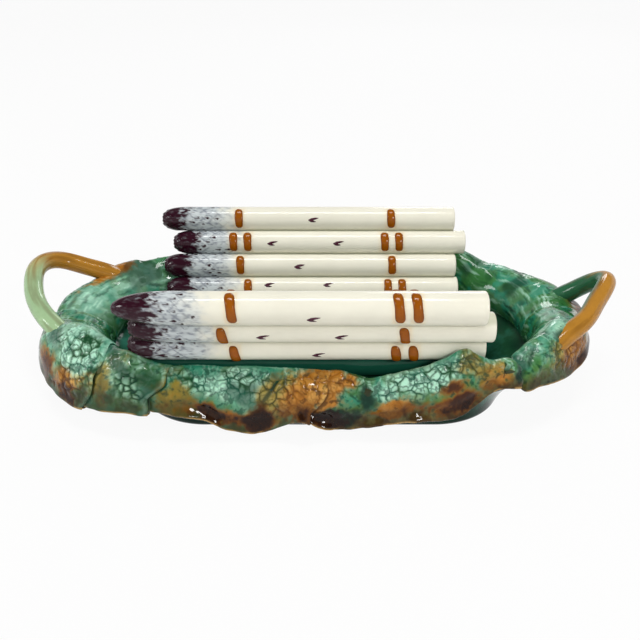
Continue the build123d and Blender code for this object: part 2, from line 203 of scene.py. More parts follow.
# Patches of glaze on the leaves: place round the rim, place across the leaf (0 at the root, 0.5 at the
# crest, 1 at the free edge), reach in both, then amounts of amber, brown, olive, pale, net, dense net
# and dark.
PATCHES = (
    (-19.5, 0.60, 2.2, 0.18, 0.0, 0.0, 0.0, 1.2, 0.3, 0.0, 0.0),
    (-18.1, 0.73, 1.6, 0.16, 0.0, 0.0, 0.1, 0.3, 1.2, 0.0, 0.0),
    (-18.9, 0.87, 0.9, 0.07, 0.9, 0.1, 0.0, 0.0, 0.3, 0.0, 0.0),
    (-18.6, 0.94, 0.8, 0.06, 0.3, 0.9, 0.0, 0.0, 0.0, 0.0, 0.0),
    (-17.7, 0.83, 0.8, 0.08, 0.3, 0.0, 0.6, 0.0, 0.6, 0.0, 0.0),
    (-17.7, 0.98, 1.6, 0.03, 0.0, 0.3, 0.0, 0.0, 0.0, 0.0, 0.9),
    (-20.9, 0.88, 0.9, 0.10, 0.1, 0.9, 0.0, 0.0, 0.0, 0.0, 0.3),
    (-23.2, 0.72, 1.4, 0.16, 0.0, 0.0, 0.2, 0.3, 0.6, 0.0, 0.0),
    (-16.1, 0.82, 0.6, 0.16, 0.15, 0.0, 0.8, 0.1, 0.0, 0.0, 0.0),
    (-15.3, 0.69, 0.7, 0.12, 0.0, 0.0, 0.2, 0.5, 0.0, 0.0, 0.0),
    (-14.9, 0.56, 1.0, 0.07, 0.0, 0.0, 0.35, 0.2, 0.5, 0.0, 0.2),
    (-14.2, 0.79, 0.95, 0.12, 0.0, 0.0, 0.0, 0.35, 0.0, 1.4, 0.0),
    (-12.4, 0.58, 1.0, 0.10, 0.0, 0.0, 0.1, 0.2, 0.4, 0.0, 0.1),
    (-11.2, 0.86, 1.5, 0.17, 0.22, 0.0, 1.2, 0.1, 0.0, 0.0, 0.0),
    (-10.1, 0.93, 0.8, 0.06, 0.35, 0.1, 0.8, 0.0, 0.0, 0.0, 0.0),
    (-11.3, 0.56, 1.0, 0.06, 0.0, 0.0, 0.3, 0.0, 0.6, 0.0, 0.4),
    (-9.8, 0.66, 1.1, 0.08, 0.0, 0.0, 0.0, 0.2, 0.8, 0.0, 0.0),
    (-8.0, 0.65, 1.2, 0.10, 0.0, 0.0, 0.0, 0.8, 0.4, 0.0, 0.0),
    (-6.3, 0.59, 1.4, 0.09, 0.0, 0.0, 0.0, 0.5, 1.0, 0.0, 0.0),
    (-5.7, 0.67, 1.2, 0.12, 0.0, 0.0, 0.0, 0.7, 0.7, 0.0, 0.0),
    (-8.9, 0.92, 0.8, 0.09, 0.1, 1.1, 0.0, 0.0, 0.0, 0.0, 0.6),
    (-6.8, 0.90, 1.0, 0.06, 0.9, 0.5, 0.0, 0.0, 0.0, 0.0, 0.0),
    (-5.0, 0.90, 1.1, 0.10, 0.0, 1.2, 0.0, 0.0, 0.0, 0.0, 1.1),
    (-8.0, 0.92, 0.7, 0.05, 0.3, 0.6, 0.3, 0.0, 0.0, 0.0, 0.0),
    (-3.4, 0.74, 1.4, 0.19, 0.2, 0.0, 1.2, 0.2, 1.1, 0.0, 0.0),
    (-0.6, 0.66, 1.7, 0.18, 1.0, 0.0, 0.0, 0.25, 0.35, 0.0, 0.0),
    (-1.6, 0.86, 1.3, 0.10, 0.8, 0.4, 0.0, 0.0, 0.0, 0.0, 0.0),
    (-0.9, 0.95, 1.0, 0.06, 0.2, 0.8, 0.2, 0.0, 0.0, 0.0, 0.3),
    (0.6, 0.91, 1.3, 0.09, 0.0, 0.5, 0.1, 0.0, 0.0, 0.0, 1.1),
    (0.6, 0.62, 1.0, 0.14, 0.9, 0.0, 0.1, 0.1, 0.2, 0.0, 0.0),
    (2.0, 0.56, 0.9, 0.10, 0.4, 0.3, 0.5, 0.0, 0.5, 0.0, 0.0),
    (3.7, 0.71, 0.8, 0.11, 0.0, 0.0, 0.0, 0.0, 0.0, 0.0, 1.2),
    (2.2, 0.91, 1.4, 0.09, 0.0, 0.2, 0.0, 0.0, 0.0, 0.0, 1.2),
    (3.1, 0.58, 0.9, 0.07, 0.0, 0.0, 0.0, 0.1, 0.8, 0.0, 0.1),
    (7.3, 0.61, 2.6, 0.13, 0.0, 0.0, 0.0, 0.9, 1.2, 0.0, 0.0),
    (9.4, 0.60, 1.0, 0.10, 0.0, 0.0, 0.0, 0.7, 1.0, 0.0, 0.0),
    (6.5, 0.85, 1.4, 0.08, 0.9, 0.2, 0.0, 0.0, 0.2, 0.0, 0.0),
    (5.1, 0.83, 0.9, 0.09, 0.7, 0.1, 0.4, 0.2, 0.0, 0.0, 0.0),
    (10.1, 0.75, 1.1, 0.05, 0.1, 1.0, 0.0, 0.0, 0.0, 0.0, 0.4),
    (9.9, 0.90, 1.5, 0.07, 0.55, 0.7, 0.0, 0.0, 0.0, 0.0, 0.0),
    (11.2, 0.90, 0.8, 0.08, 0.3, 0.9, 0.0, 0.0, 0.0, 0.0, 0.0),
    (11.4, 0.58, 0.9, 0.10, 0.0, 0.0, 0.7, 0.0, 1.1, 0.0, 0.0),
    (13.0, 0.70, 0.9, 0.14, 0.4, 0.0, 0.9, 0.1, 0.3, 0.0, 0.0),
    (13.8, 0.85, 0.9, 0.10, 0.45, 0.0, 0.9, 0.2, 0.0, 0.0, 0.0),
    (13.8, 0.57, 0.7, 0.08, 0.0, 0.0, 0.2, 0.3, 0.0, 0.3, 0.2),
    # Painted shade: a dark strip in the gap between the front right and right front leaves
    (15.0, 0.80, 0.35, 0.25, 0.0, 0.0, 0.0, 0.0, 0.0, 0.0, 1.2),
    (16.4, 0.57, 1.1, 0.10, 0.0, 0.0, 0.1, 0.5, 0.0, 0.5, 0.2),
    (22.6, 0.40, 1.2, 0.08, 0.0, 0.0, 0.0, 0.6, 0.0, 0.0, 0.0),
    (19.6, 0.53, 1.3, 0.06, 0.0, 0.0, 0.0, 0.8, 0.0, 0.0, 0.0),
    (19.1, 0.74, 1.2, 0.12, 0.1, 0.0, 0.8, 0.3, 1.1, 0.0, 0.0),
    (20.7, 0.86, 1.1, 0.16, 1.1, 0.0, 0.1, 0.1, 0.3, 0.0, 0.0),
    (21.6, 0.97, 1.0, 0.05, 0.3, 0.9, 0.0, 0.0, 0.0, 0.0, 0.0),
    (17.8, 0.97, 1.4, 0.03, 0.0, 0.2, 0.0, 0.0, 0.0, 0.0, 1.0),
    (23.6, 0.85, 1.2, 0.15, 0.4, 0.8, 0.0, 0.0, 0.0, 0.0, 0.0),
    (27.6, 0.94, 2.0, 0.08, 0.3, 0.6, 0.0, 0.0, 0.0, 0.0, 0.3),
    (29.2, 0.27, 2.0, 0.16, 0.0, 0.0, 0.0, 0.2, 0.3, 0.0, 0.0),
    (33.0, 0.55, 2.6, 0.10, 0.0, 0.0, 0.0, 0.5, 0.5, 0.0, 0.0),
    (34.5, 0.72, 2.2, 0.14, 0.1, 0.0, 0.5, 0.2, 1.0, 0.0, 0.0),
    (40.0, 0.84, 2.4, 0.14, 0.9, 0.2, 0.0, 0.0, 0.4, 0.0, 0.0),
    (44.0, 0.66, 2.2, 0.14, 0.0, 0.0, 0.0, 0.7, 1.0, 0.0, 0.0),
    (46.5, 0.92, 2.4, 0.09, 0.3, 0.8, 0.1, 0.0, 0.0, 0.0, 0.0),
    (51.5, 0.72, 2.4, 0.16, 0.4, 0.0, 0.8, 0.1, 0.9, 0.0, 0.0),
    (57.0, 0.86, 2.6, 0.12, 0.9, 0.3, 0.0, 0.0, 0.4, 0.0, 0.0),
    (56.5, 0.62, 2.0, 0.12, 0.0, 0.0, 0.0, 0.7, 0.8, 0.0, 0.0),
    (62.0, 0.66, 2.2, 0.16, 0.0, 0.0, 0.2, 0.4, 1.0, 0.0, 0.0),
    (63.0, 0.93, 1.6, 0.07, 0.2, 0.8, 0.0, 0.0, 0.0, 0.0, 0.3),
    (69.6, 0.50, 2.2, 0.07, 1.0, 0.1, 0.2, 0.0, 0.5, 0.0, 0.0),
    (70.6, 0.94, 2.0, 0.08, 0.4, 0.5, 0.0, 0.0, 0.0, 0.0, 0.0),
    (72.0, 0.72, 1.8, 0.14, 0.0, 0.0, 0.3, 0.4, 1.0, 0.0, 0.0),
    (73.6, 0.40, 1.6, 0.14, 0.0, 0.0, 0.0, 0.8, 0.0, 0.0, 0.0),
    (68.5, 0.34, 3.8, 0.14, 0.0, 0.0, 0.0, 0.75, 0.0, 0.0, 0.0),
)

# Folds in the leaves: from one place (round the rim, across) to another, then width and height in mm
FOLDS = {
    "left_front_leaf": ((-20.4, 0.5, -19.0, 0.86, 3.0, 1.2),),
    "front_left_leaf": (
        (-14.0, 0.54, -16.3, 0.79, 1.5, 1.0),
        (-13.4, 0.55, -15.6, 0.80, 1.3, -0.8),
        (-17.8, 0.44, -17.1, 0.58, 5.0, 2.2),
    ),
    "front_middle_leaf": ((-6.0, 0.56, -9.0, 0.78, 2.8, 1.6), (-2.9, 0.57, -4.9, 0.82, 2.0, -1.5)),
    "front_right_leaf": (
        (3.8, 0.55, 3.7, 0.80, 3.4, -0.8),
        (6.5, 0.50, 4.6, 0.69, 2.6, 1.3),
        (11.3, 0.50, 9.8, 0.72, 2.6, 1.2),
    ),
    "right_front_leaf": (
        (19.4, 0.53, 16.4, 0.84, 2.2, 1.4),
        (17.2, 0.55, 15.8, 0.75, 2.6, -1.4),
        (20.0, 0.62, 21.6, 0.68, 5.0, 2.4),
    ),
    "right_back_leaf": ((28.0, 0.20, 33.5, 0.44, 2.2, -1.2), (30.0, 0.55, 33.0, 0.85, 2.8, 1.4)),
    "back_right_leaf": ((41.0, 0.52, 43.5, 0.82, 2.6, 1.5), (46.8, 0.54, 45.0, 0.84, 2.2, -1.4)),
    "back_left_leaf": ((53.0, 0.52, 55.5, 0.84, 2.6, 1.5), (60.0, 0.54, 57.5, 0.82, 2.4, -1.4)),
    "left_back_leaf": ((67.0, 0.52, 69.0, 0.86, 2.6, 1.4), (66.5, 0.20, 71.0, 0.40, 2.0, -1.0)),
}

# Branch handles: place round the rim, then how far out and how high above the rim, in mm
HANDLES = {
    "handle_left": (
        (-32.0, 10, 15),
        (-30.6, 17, 30),
        (-29.7, 33, 37),
        (-28.8, 49, 44),
        (-27.6, 53, 46),
        (-26.1, 49, 40),
        (-24.0, 40, 33),
        (-22.3, 25, 23),
        (-21.4, 16, 14),
    ),
    "handle_right": (
        (18.6, 6, 16),
        (19.4, 9.5, 21),
        (20.4, 15, 27),
        (21.8, 24.5, 33),
        (23.4, 33, 38),
        (25.1, 44, 43),
        (26.2, 48, 43),
        (27.0, 44, 37),
        (27.7, 35, 27),
        (28.3, 25, 18),
        (28.8, 17, 12),
    ),
}
HANDLE_RADIUS = 6.6 * MM
HANDLE_FOOT_RADIUS = 8.2 * MM
HANDLE_FOOT_POWER = 4

# Stalks, with their lengths and places taken from the solids
WALLS = ("front", "back")
ROWS = (1, 2, 3, 4)
BUD_LENGTH = 21 * MM
BUD_FULLNESS = 0.67
BUD_BLUNTNESS = 0.78
TOP_FRONT_BUD_LENGTH = 38 * MM
TOP_FRONT_BUD_BLUNTNESS = 0.52
BUD_STEP = 7.4 * MM
BUD_RING = 9
BRUSH_STROKE = np.array([4.5, 1.2, 1.2]) * MM
PURPLE = 20
TOP_FRONT_PURPLE = 26
CUT_END_ROUND = 1.6 * MM

# Binding straws: row, middle along X in mm and number of straws, as in the solids
BINDINGS = {
    "front_binding_left": ("front", ((1, -53.3, 1), (2, -60.2, 1), (3, -53.8, 1))),
    "front_binding_right": ("front", ((1, 52.7, 2), (2, 52.4, 1), (3, 53.8, 2))),
    "back_binding_left": ("back", ((1, -62.8, 1), (2, -61.7, 2), (3, -61.9, 1), (4, -56.0, 1))),
    "back_binding_right": ("back", ((1, 55.0, 1), (2, 55.8, 2), (3, 56.0, 1), (4, 58.5, 2))),
}
STRAW_WIDTH = 6.6 * MM
STRAW_STEP = 11 * MM
STRAW_ARC = math.radians(98)
TOP_FRONT_STRAW_ARC = math.radians(118)
TOP_FRONT_STRAW_LIFT = math.radians(50)
TOP_FRONT_STRAW_DIP = math.radians(8)

# Dark bract marks on the stalks: wall, row and place along X in mm
BRACTS = (
    ("back", 1, -5.4),
    ("back", 2, -37.2),
    ("back", 2, 13.9),
    ("back", 3, -16.3),
    ("back", 4, -39.6),
    ("back", 4, 6.2),
    ("front", 1, -4.2),
    ("front", 2, -35.5),
    ("front", 2, 12.8),
    ("front", 3, -1.3),
)


# Small tools

# The noise lattice is turned, so that its cells don't show along the axes of the dish
LATTICE_TURN = np.array(Euler((0.6, 0.4, 0.9)).to_matrix())

# Factors that scramble the lattice points into numbers
LATTICE_FACTORS = (374761393, 668265263, 2147483647)
SEED_FACTOR = 144269504
SCRAMBLE_FACTOR = 1274126177
WORD = 0xFFFFFFFF
HALF_WORD = 0xFFFF

# How far the middle of a cell stays from its lattice walls
CELL_MARGIN = 0.15


def hashed(cells, seed):
    """Repeatable numbers from 0 to 1 for lattice points, an array of whole numbers with three columns."""
    number = seed * SEED_FACTOR
    for axis, factor in enumerate(LATTICE_FACTORS):
        number = number + cells[..., axis] * factor
    number = number & WORD
    number = ((number ^ (number >> 13)) * SCRAMBLE_FACTOR) & WORD
    return ((number ^ (number >> 16)) & HALF_WORD) / HALF_WORD


def smooth_noise(points, seed):
    """Value noise from 0 to 1 in space; one step of its lattice is one unit of the points."""
    points = points @ LATTICE_TURN
    low = np.floor(points).astype(np.int64)
    part = points - low
    part = part**3 * (part * (6 * part - 15) + 10)
    total = np.zeros(points.shape[:-1])
    for corner in np.ndindex(2, 2, 2):
        weight = np.ones(points.shape[:-1])
        for axis, high in enumerate(corner):
            weight = weight * (part[..., axis] if high else 1 - part[..., axis])
        total += weight * hashed(low + np.array(corner), seed)
    return total


def layered_noise(points, seed, layers=3):
    """Sum of noises, each finer and weaker than the last, from 0 to 1."""
    total = np.zeros(points.shape[:-1])
    share = 0.0
    for layer in range(layers):
        total += smooth_noise(points * 2**layer, seed + layer) / 2**layer
        share += 1 / 2**layer
    return total / share


def noise_vectors(noise, points, seed):
    """Three noises at each point, from -0.5 to 0.5."""
    return np.stack([noise(points, seed + axis) for axis in range(3)], axis=-1) - 0.5


def flat_noise(along, across, seed):
    """Two layers of noise over a plane, from 0 to 1."""
    along, across = np.broadcast_arrays(along, across)
    return layered_noise(np.stack([along, across, np.zeros_like(along)], axis=-1), seed, 2)


def cell_walls(points, seed):
    """Distance to the nearest wall between irregular cells one unit wide, and a number for each cell."""
    low = np.floor(points).astype(np.int64)
    nearest = np.full(points.shape[:-1], np.inf)
    second = np.full(points.shape[:-1], np.inf)
    number = np.zeros(points.shape[:-1])
    for step in np.ndindex(3, 3, 3):
        cell = low + np.array(step) - 1
        seed_point = np.stack([hashed(cell, seed + axis) for axis in range(3)], axis=-1)
        away = np.linalg.norm(points - cell - CELL_MARGIN - (1 - 2 * CELL_MARGIN) * seed_point, axis=-1)
        closer = away < nearest
        second = np.where(closer, nearest, np.minimum(second, away))
        number = np.where(closer, hashed(cell, seed + 3), number)
        nearest = np.where(closer, away, nearest)
    return (second - nearest) / 2, number


def bell(far, width):
    """1 at no distance, falling away smoothly over a width."""
    return np.exp(-((far / width) ** 2))


def ramp(low, high, value):
    """0 below low, 1 above high and smooth between them."""
    t = np.clip((value - low) / (high - low), 0, 1)
    return t * t * (3 - 2 * t)


def along_stations(stations, places):
    """Values of the stations at places between them, on smooth curves."""
    table = np.array(stations, float)
    at, values = table[:, 0], table[:, 1:]
    slopes = np.gradient(values, at, axis=0)
    index = np.clip(np.searchsorted(at, places) - 1, 0, len(at) - 2)
    gap = (at[index + 1] - at[index])[:, None]
    t = np.clip((places - at[index])[:, None] / gap, 0, 1)
    start, end = values[index], values[index + 1]
    rise_start, rise_end = slopes[index] * gap, slopes[index + 1] * gap
    return (
        (2 * t**3 - 3 * t**2 + 1) * start
        + (t**3 - 2 * t**2 + t) * rise_start
        + (3 * t**2 - 2 * t**3) * end
        + (t**3 - t**2) * rise_end
    )


def bezier(t, a, b, c, d):
    """Points of a cubic curve, for columns t and rows of control points."""
    t = np.asarray(t)[None, :, None]
    a, b, c, d = (np.stack(p, axis=-1)[:, None, :] for p in (a, b, c, d))
    return (1 - t) ** 3 * a + 3 * t * (1 - t) ** 2 * b + 3 * t**2 * (1 - t) * c + t**3 * d


def surface_normals(points):
    """Unit normals of a grid of points, rows by columns, whose columns close on themselves."""
    along = np.gradient(points, axis=0)
    around = np.roll(points, -1, axis=1) - np.roll(points, 1, axis=1)
    normals = np.cross(along, around)
    return normals / np.maximum(np.linalg.norm(normals, axis=-1, keepdims=True), 1e-12)


def grid_faces(rows, columns):
    """Quads of a grid whose columns close on themselves."""
    first = np.arange(rows - 1)[:, None] * columns
    here = np.arange(columns)[None, :]
    after = (here + 1) % columns
    corners = (first + here, first + after, first + columns + after, first + columns + here)
    return np.stack(corners, axis=-1).reshape(-1, 4).tolist()


def capped_faces(rows, columns):
    """Quads of a tube, and a face over each of its ends."""
    last = (rows - 1) * columns
    return grid_faces(rows, columns) + [list(range(columns)), list(range(last + columns - 1, last - 1, -1))]


def sheet_faces(rows, columns):
    """Quads of an open grid."""
    starts = [row * columns + column for row in range(rows - 1) for column in range(columns - 1)]
    return [[start, start + 1, start + columns + 1, start + columns] for start in starts]


def outward_faces(points, faces):
    """The faces of a closed mesh, turned over if they point inwards."""
    corners = [(face[0], a, b) for face in faces for a, b in zip(face[1:-1], face[2:])]
    first, second, third = np.moveaxis(points[np.array(corners)], 1, 0)
    volume = np.sum(first * np.cross(second, third))
    return [face[::-1] for face in faces] if volume < 0 else faces


def put_layer(mesh, key, values):
    """Gives a mesh a colour attribute, four numbers for each point."""
    layer = mesh.attributes.new(key, "FLOAT_COLOR", "POINT")
    layer.data.foreach_set("color", np.asarray(values, np.float32).reshape(-1, 4).ravel())


def new_mesh(name, points, faces):
    """A mesh of points and faces."""
    mesh = bpy.data.meshes.new(name)
    mesh.from_pydata(points, [], faces)
    mesh.update()
    return mesh


def add_piece(name, points, faces, material, layers, stands_for):
    """A smooth mesh in the row's frame, with colour attributes, riding on the dish."""
    points = np.asarray(points, float).reshape(-1, 3)
    mesh = new_mesh(name, points.tolist(), outward_faces(points, faces))
    for key, values in layers.items():
        put_layer(mesh, key, values)
    mesh.shade_smooth()
    mesh.materials.append(material)
    return seat(add_object(name, mesh), stands_for)


def add_object(name, data):
    """A new object in the scene."""
    made = bpy.data.objects.new(name, data)
    bpy.context.scene.collection.objects.link(made)
    return made


def seat(piece, stands_for=()):
    """Says what a finished piece rides on, and hides the solids that it stands for."""
    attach(piece, BODY)
    if stands_for:
        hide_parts(*stands_for)
    return piece


# Rim outline


def rim_outline():
    """Points and outward directions round the rim, counter-clockwise from the middle of the front."""
    half_x = RIM_LENGTH / 2 - RIM_CORNER
    half_y = RIM_WIDTH / 2 - RIM_CORNER
    turns = np.linspace(0, math.pi / 2, RIM_STEPS)
    points = [(0.0, -RIM_WIDTH / 2)]
    outward = [(0.0, -1.0)]
    corners = ((half_x, -half_y), (half_x, half_y), (-half_x, half_y), (-half_x, -half_y))
    for quarter, (x, y) in enumerate(corners):
        for turn in turns - math.pi / 2 + quarter * math.pi / 2:
            direction = (math.cos(turn), math.sin(turn))
            points.append((x + RIM_CORNER * direction[0], y + RIM_CORNER * direction[1]))
            outward.append(direction)
    points.append(points[0])
    outward.append(outward[0])
    points, outward = np.array(points), np.array(outward)
    lengths = np.concatenate([[0], np.cumsum(np.linalg.norm(np.diff(points, axis=0), axis=1))])
    return lengths, points, outward


RIM_LENGTHS, RIM_POINTS, RIM_OUTWARD = rim_outline()
RIM_ROUND = RIM_LENGTHS[-1]


def rim_at(shares):
    """Points and outward directions on the rim at places given in hundredths of the way round."""
    run = (np.asarray(shares, float) / 100 % 1) * RIM_ROUND
    points = np.stack([np.interp(run, RIM_LENGTHS, RIM_POINTS[:, axis]) for axis in (0, 1)], axis=-1)
    outward = np.stack([np.interp(run, RIM_LENGTHS, RIM_OUTWARD[:, axis]) for axis in (0, 1)], axis=-1)
    return points, outward / np.linalg.norm(outward, axis=-1, keepdims=True)


# Settings


def colour(label, text, value):
    """A setting for the colour of a glaze."""
    return FloatVectorProperty(
        name=label, description=text, subtype="COLOR", size=3, default=value, min=0, max=1
    )


def length(label, text, value):
    """A setting for a length in metres."""
    return FloatProperty(name=label, description=text, default=value, unit="LENGTH", precision=5, min=0)


def power(label, text, value):
    """A setting for the power of a softbox."""
    return FloatProperty(name=label, description=text, default=value, unit="POWER", min=0)


class LeafSettings(bpy.types.PropertyGroup):
    """Sizes and glazes of the leaf border."""

    step: length("Mesh step", "Distance between points of a leaf's mesh", 0.54 * MM)
    big_cell: length("Main cells", "Width of the cells between the main veins", 7.4 * MM)
    small_cell: length("Dense cells", "Width of the cells of the dense vein net", 4.6 * MM)
    vein_depth: length("Vein depth", "Depth of the main veins", 0.6 * MM)
    net_depth: length("Net depth", "Depth of the dense vein net", 0.6 * MM)
    fold_height: length("Swell", "Height of the soft swellings of the leaves", 1.5 * MM)
    lap: length("Lap", "Height of a leaf's border above the leaf that it lies over", 0.85 * MM)
    flare: length("Flare", "How far the free edge flares out", 2.3 * MM)
    ruffle: length("Ruffle", "Height of the waves along the free edge", 1.4 * MM)
    seed: IntProperty(name="Seed", description="Start of the vein pattern", default=7)
    pale: colour("Pale", "Thin glaze on the raised cells", (0.47, 0.80, 0.61))
    turquoise: colour("Turquoise", "Main glaze of the leaves", (0.024, 0.255, 0.142))
    green: colour("Green", "Second glaze of the leaves", (0.040, 0.18, 0.042))
    # Deep also gives the painted shade on the hems, sunk borders and inner walls of the leaves
    deep: colour("Deep", "Glaze pooled in the veins", (0.001, 0.030, 0.016))
    amber: colour("Amber", "Amber patches", (0.40, 0.135, 0.006))
    honey: colour("Honey", "Thin amber glaze", (0.70, 0.40, 0.10))
    brown: colour("Brown", "Dark brown patches", (0.012, 0.003, 0.001))
    chestnut: colour("Chestnut", "Thinner brown glaze", (0.062, 0.016, 0.003))
    olive: colour("Olive", "Yellow-green patches", (0.21, 0.155, 0.014))
    straw: colour("Straw", "Thin yellow-green glaze", (0.52, 0.43, 0.13))
    gold: colour("Gold", "Thin line along the free edges", (0.55, 0.33, 0.10))


class StalkSettings(bpy.types.PropertyGroup):
    """Sizes and glazes of the asparagus stalks."""

    step: length("Mesh step", "Distance between rings of a stalk's mesh", 0.75 * MM)
    columns: IntProperty(name="Columns", description="Points round a stalk", default=112, min=24)
    waver: length("Waver", "Unevenness of the hand-finished stalks", 0.14 * MM)
    scale_rows: IntProperty(name="Scale rows", description="Rows of scales on a bud", default=13, min=1)
    scale_height: length("Scale height", "How far a scale stands out", 0.75 * MM)
    cream: colour("Cream", "Ivory glaze of the stalks", (0.86, 0.83, 0.70))
    # Seam colour: glaze pooled where the stalks meet, with painted shade there
    seam: colour("Seam", "Glaze pooled between the stalks", (0.42, 0.44, 0.30))
    purple: colour("Purple", "Aubergine of the tips", (0.026, 0.003, 0.010))
    wash: colour("Wash", "Blue-grey wash behind the tips", (0.48, 0.55, 0.60))
    hatch: colour("Hatch", "Fine grey strokes behind the tips", (0.075, 0.085, 0.13))
    bleed: colour("Bleed", "Green that runs onto the stalks from the leaves", (0.01, 0.09, 0.055))
    mark: colour("Bract", "Dark bract marks", (0.075, 0.018, 0.035))
    straw: colour("Straw", "Amber of the binding straws", (0.285, 0.075, 0.001))
    straw_edge: colour("Straw edge", "Darker edge of the straws", (0.14, 0.033, 0.002))
    halo: colour("Halo", "Warm glaze round the straws", (0.80, 0.62, 0.36))
    straw_height: length("Straw height", "How far a straw stands out", 1.1 * MM)


class BranchSettings(bpy.types.PropertyGroup):
    """Sizes and glazes of the handles and the basin."""

    groove: length("Groove depth", "Depth of the long bark grooves", 0.28 * MM)
    amber: colour("Amber", "Amber glaze of the handles", (0.44, 0.20, 0.024))
    green: colour("Green", "Light green of the left handle", (0.36, 0.53, 0.29))
    dark_green: colour("Dark green", "Inside of the right handle", (0.03, 0.14, 0.065))
    bark: colour("Bark", "Glaze pooled in the bark grooves", (0.13, 0.05, 0.008))
    basin: colour("Basin", "Green glaze of the basin", (0.013, 0.072, 0.032))
    # Dark glaze pooled in clouds on the basin, and the painted shade low on it
    basin_pool_and_shade: colour("Basin pools", "Glaze pooled low on the basin", (0.002, 0.018, 0.012))
    basin_pale: colour("Basin thin", "Thin glaze on the basin", (0.05, 0.26, 0.19))


class StageSettings(bpy.types.PropertyGroup):
    """Camera and light."""

    distance: length("Camera distance", "From the camera to the point it looks at", 0.57)
    look_height: length("Look height", "Height of the point that the camera looks at", 0.045)
    elevation: FloatProperty(
        name="Elevation",
        description="Angle of the camera above the table",
        subtype="ANGLE",
        default=math.radians(27),
    )
    lens: FloatProperty(name="Lens", description="Focal length in mm on a 36 mm sensor", default=44.33)
    key_power: power("Key", "Power of the softbox by the camera", 18.0)
    top_power: power("Top", "Power of the softbox overhead", 24.2)
    side_power: power("Side", "Power of the softbox at the left", 11.2)
    back_power: power("Back", "Power of the softbox behind", 8.0)
    sky: FloatProperty(name="Sky", description="Strength of the even light", default=0.24, min=0)


# Materials

# Ripples of the glaze, how many to the metre and how high, and how far the glaze bends light
RIPPLE_SCALE = 130.0
RIPPLE_HEIGHT = 1 * MM
GLAZE_IOR = 1.52


class Nodes:
    """Adds nodes to a tree and links them by short calls."""

    def __init__(self, tree):
        self.tree = tree

    def add(self, kind, **settings):
        """A new node with its settings."""
        node = self.tree.nodes.new(kind)
        for key, value in settings.items():
            setattr(node, key, value)
        return node

    def link(self, source, target):
        """Links an output to an input."""
        self.tree.links.new(source, target)

    def mix(self, factor, first, second):
        """First colour at factor 0, second at 1."""
        node = self.add("ShaderNodeMix", data_type="RGBA")
        for socket, value in ((node.inputs[0], factor), (node.inputs[6], first), (node.inputs[7], second)):
            self.put(value, socket)
        return node.outputs[2]

    def maths(self, operation, first, second=0.0, third=0.0):
        """Result of one sum."""
        node = self.add("ShaderNodeMath", operation=operation)
        for socket, value in zip(node.inputs, (first, second, third)):
            self.put(value, socket)
        return node.outputs[0]

    def noise(self, place, scale, detail, roughness=0.5):
        """Noise at a place."""
        node = self.add("ShaderNodeTexNoise")
        values = {"Vector": place, "Scale": scale, "Detail": detail, "Roughness": roughness}
        for key, value in values.items():
            self.put(value, node.inputs[key])
        return node.outputs["Fac"]

    def rescale(self, value, low, high):
        """0 at low, 1 at high and even between them."""
        node = self.add("ShaderNodeMapRange")
        for key, number in (("Value", value), ("From Min", low), ("From Max", high)):
            self.put(number, node.inputs[key])
        return node.outputs[0]

    def put(self, value, socket):
        """Links an output, or sets a number or colour, on an input."""
        if isinstance(value, bpy.types.NodeSocket):
            self.link(value, socket)
        elif hasattr(value, "__len__"):
            socket.default_value = (*value, 1.0)[:4]
        else:
            socket.default_value = value

    def layers(self, name):
        """The four channels of a colour attribute."""
        layer = self.add("ShaderNodeAttribute", attribute_name=name)
        split = self.add("ShaderNodeSeparateColor")
        self.link(layer.outputs["Color"], split.inputs[0])
        return *split.outputs[:3], layer.outputs["Alpha"]


def fresh_nodes(owner):
    """The emptied node tree of a material or a world."""
    owner.use_nodes = True
    owner.node_tree.nodes.clear()
    return Nodes(owner.node_tree)


def new_group(name, inputs, outputs):
    """A shader group with named sockets, given as pairs of name and kind."""
    group = bpy.data.node_groups.new(name, "ShaderNodeTree")
    for label, kind in inputs:
        group.interface.new_socket(label, in_out="INPUT", socket_type=f"NodeSocket{kind}")
    for label, kind in outputs:
        group.interface.new_socket(label, in_out="OUTPUT", socket_type=f"NodeSocket{kind}")
    nodes = Nodes(group)
    return group, nodes, nodes.add("NodeGroupInput"), nodes.add("NodeGroupOutput")


def pooled_glaze_and_shade():
    """Colour of a glaze that is thin and pale on what stands out, and dark where it pools; on the leaves
    and the basin its Pool input also carries painted shade.
    """
    name = "Pooled glaze"
    if name in bpy.data.node_groups:
        return bpy.data.node_groups[name]
    inputs = (("Pool", "Float"), ("Thin", "Float"), ("Pale", "Color"), ("Body", "Color"), ("Deep", "Color"))
    group, nodes, enter, leave = new_group(name, inputs, (("Color", "Color"),))
    thin = nodes.mix(enter.outputs["Thin"], enter.outputs["Body"], enter.outputs["Pale"])
    nodes.link(nodes.mix(enter.outputs["Pool"], thin, enter.outputs["Deep"]), leave.inputs["Color"])
    return group


def mottled_glaze():
    """Uneven depth of colour and soft ripples of a hand-laid glaze."""
    name = "Mottled glaze"
    if name in bpy.data.node_groups:
        return bpy.data.node_groups[name]
    inputs = (("Color", "Color"), ("Size", "Float"), ("Amount", "Float"))
    group, nodes, enter, leave = new_group(name, inputs, (("Color", "Color"), ("Height", "Float")))
    place = nodes.add("ShaderNodeTexCoord").outputs["Object"]
    scale = nodes.maths("DIVIDE", 1.0, enter.outputs["Size"])
    offset = nodes.maths("SUBTRACT", nodes.noise(place, scale, 5.0, 0.62), 0.5)
    shade = nodes.maths("MULTIPLY_ADD", offset, enter.outputs["Amount"], 1.0)
    tint = nodes.add("ShaderNodeVectorMath", operation="SCALE")
    nodes.link(enter.outputs["Color"], tint.inputs[0])
    nodes.link(shade, tint.inputs["Scale"])
    nodes.link(tint.outputs[0], leave.inputs["Color"])
    nodes.link(nodes.noise(place, RIPPLE_SCALE, 2.0), leave.inputs["Height"])
    return group


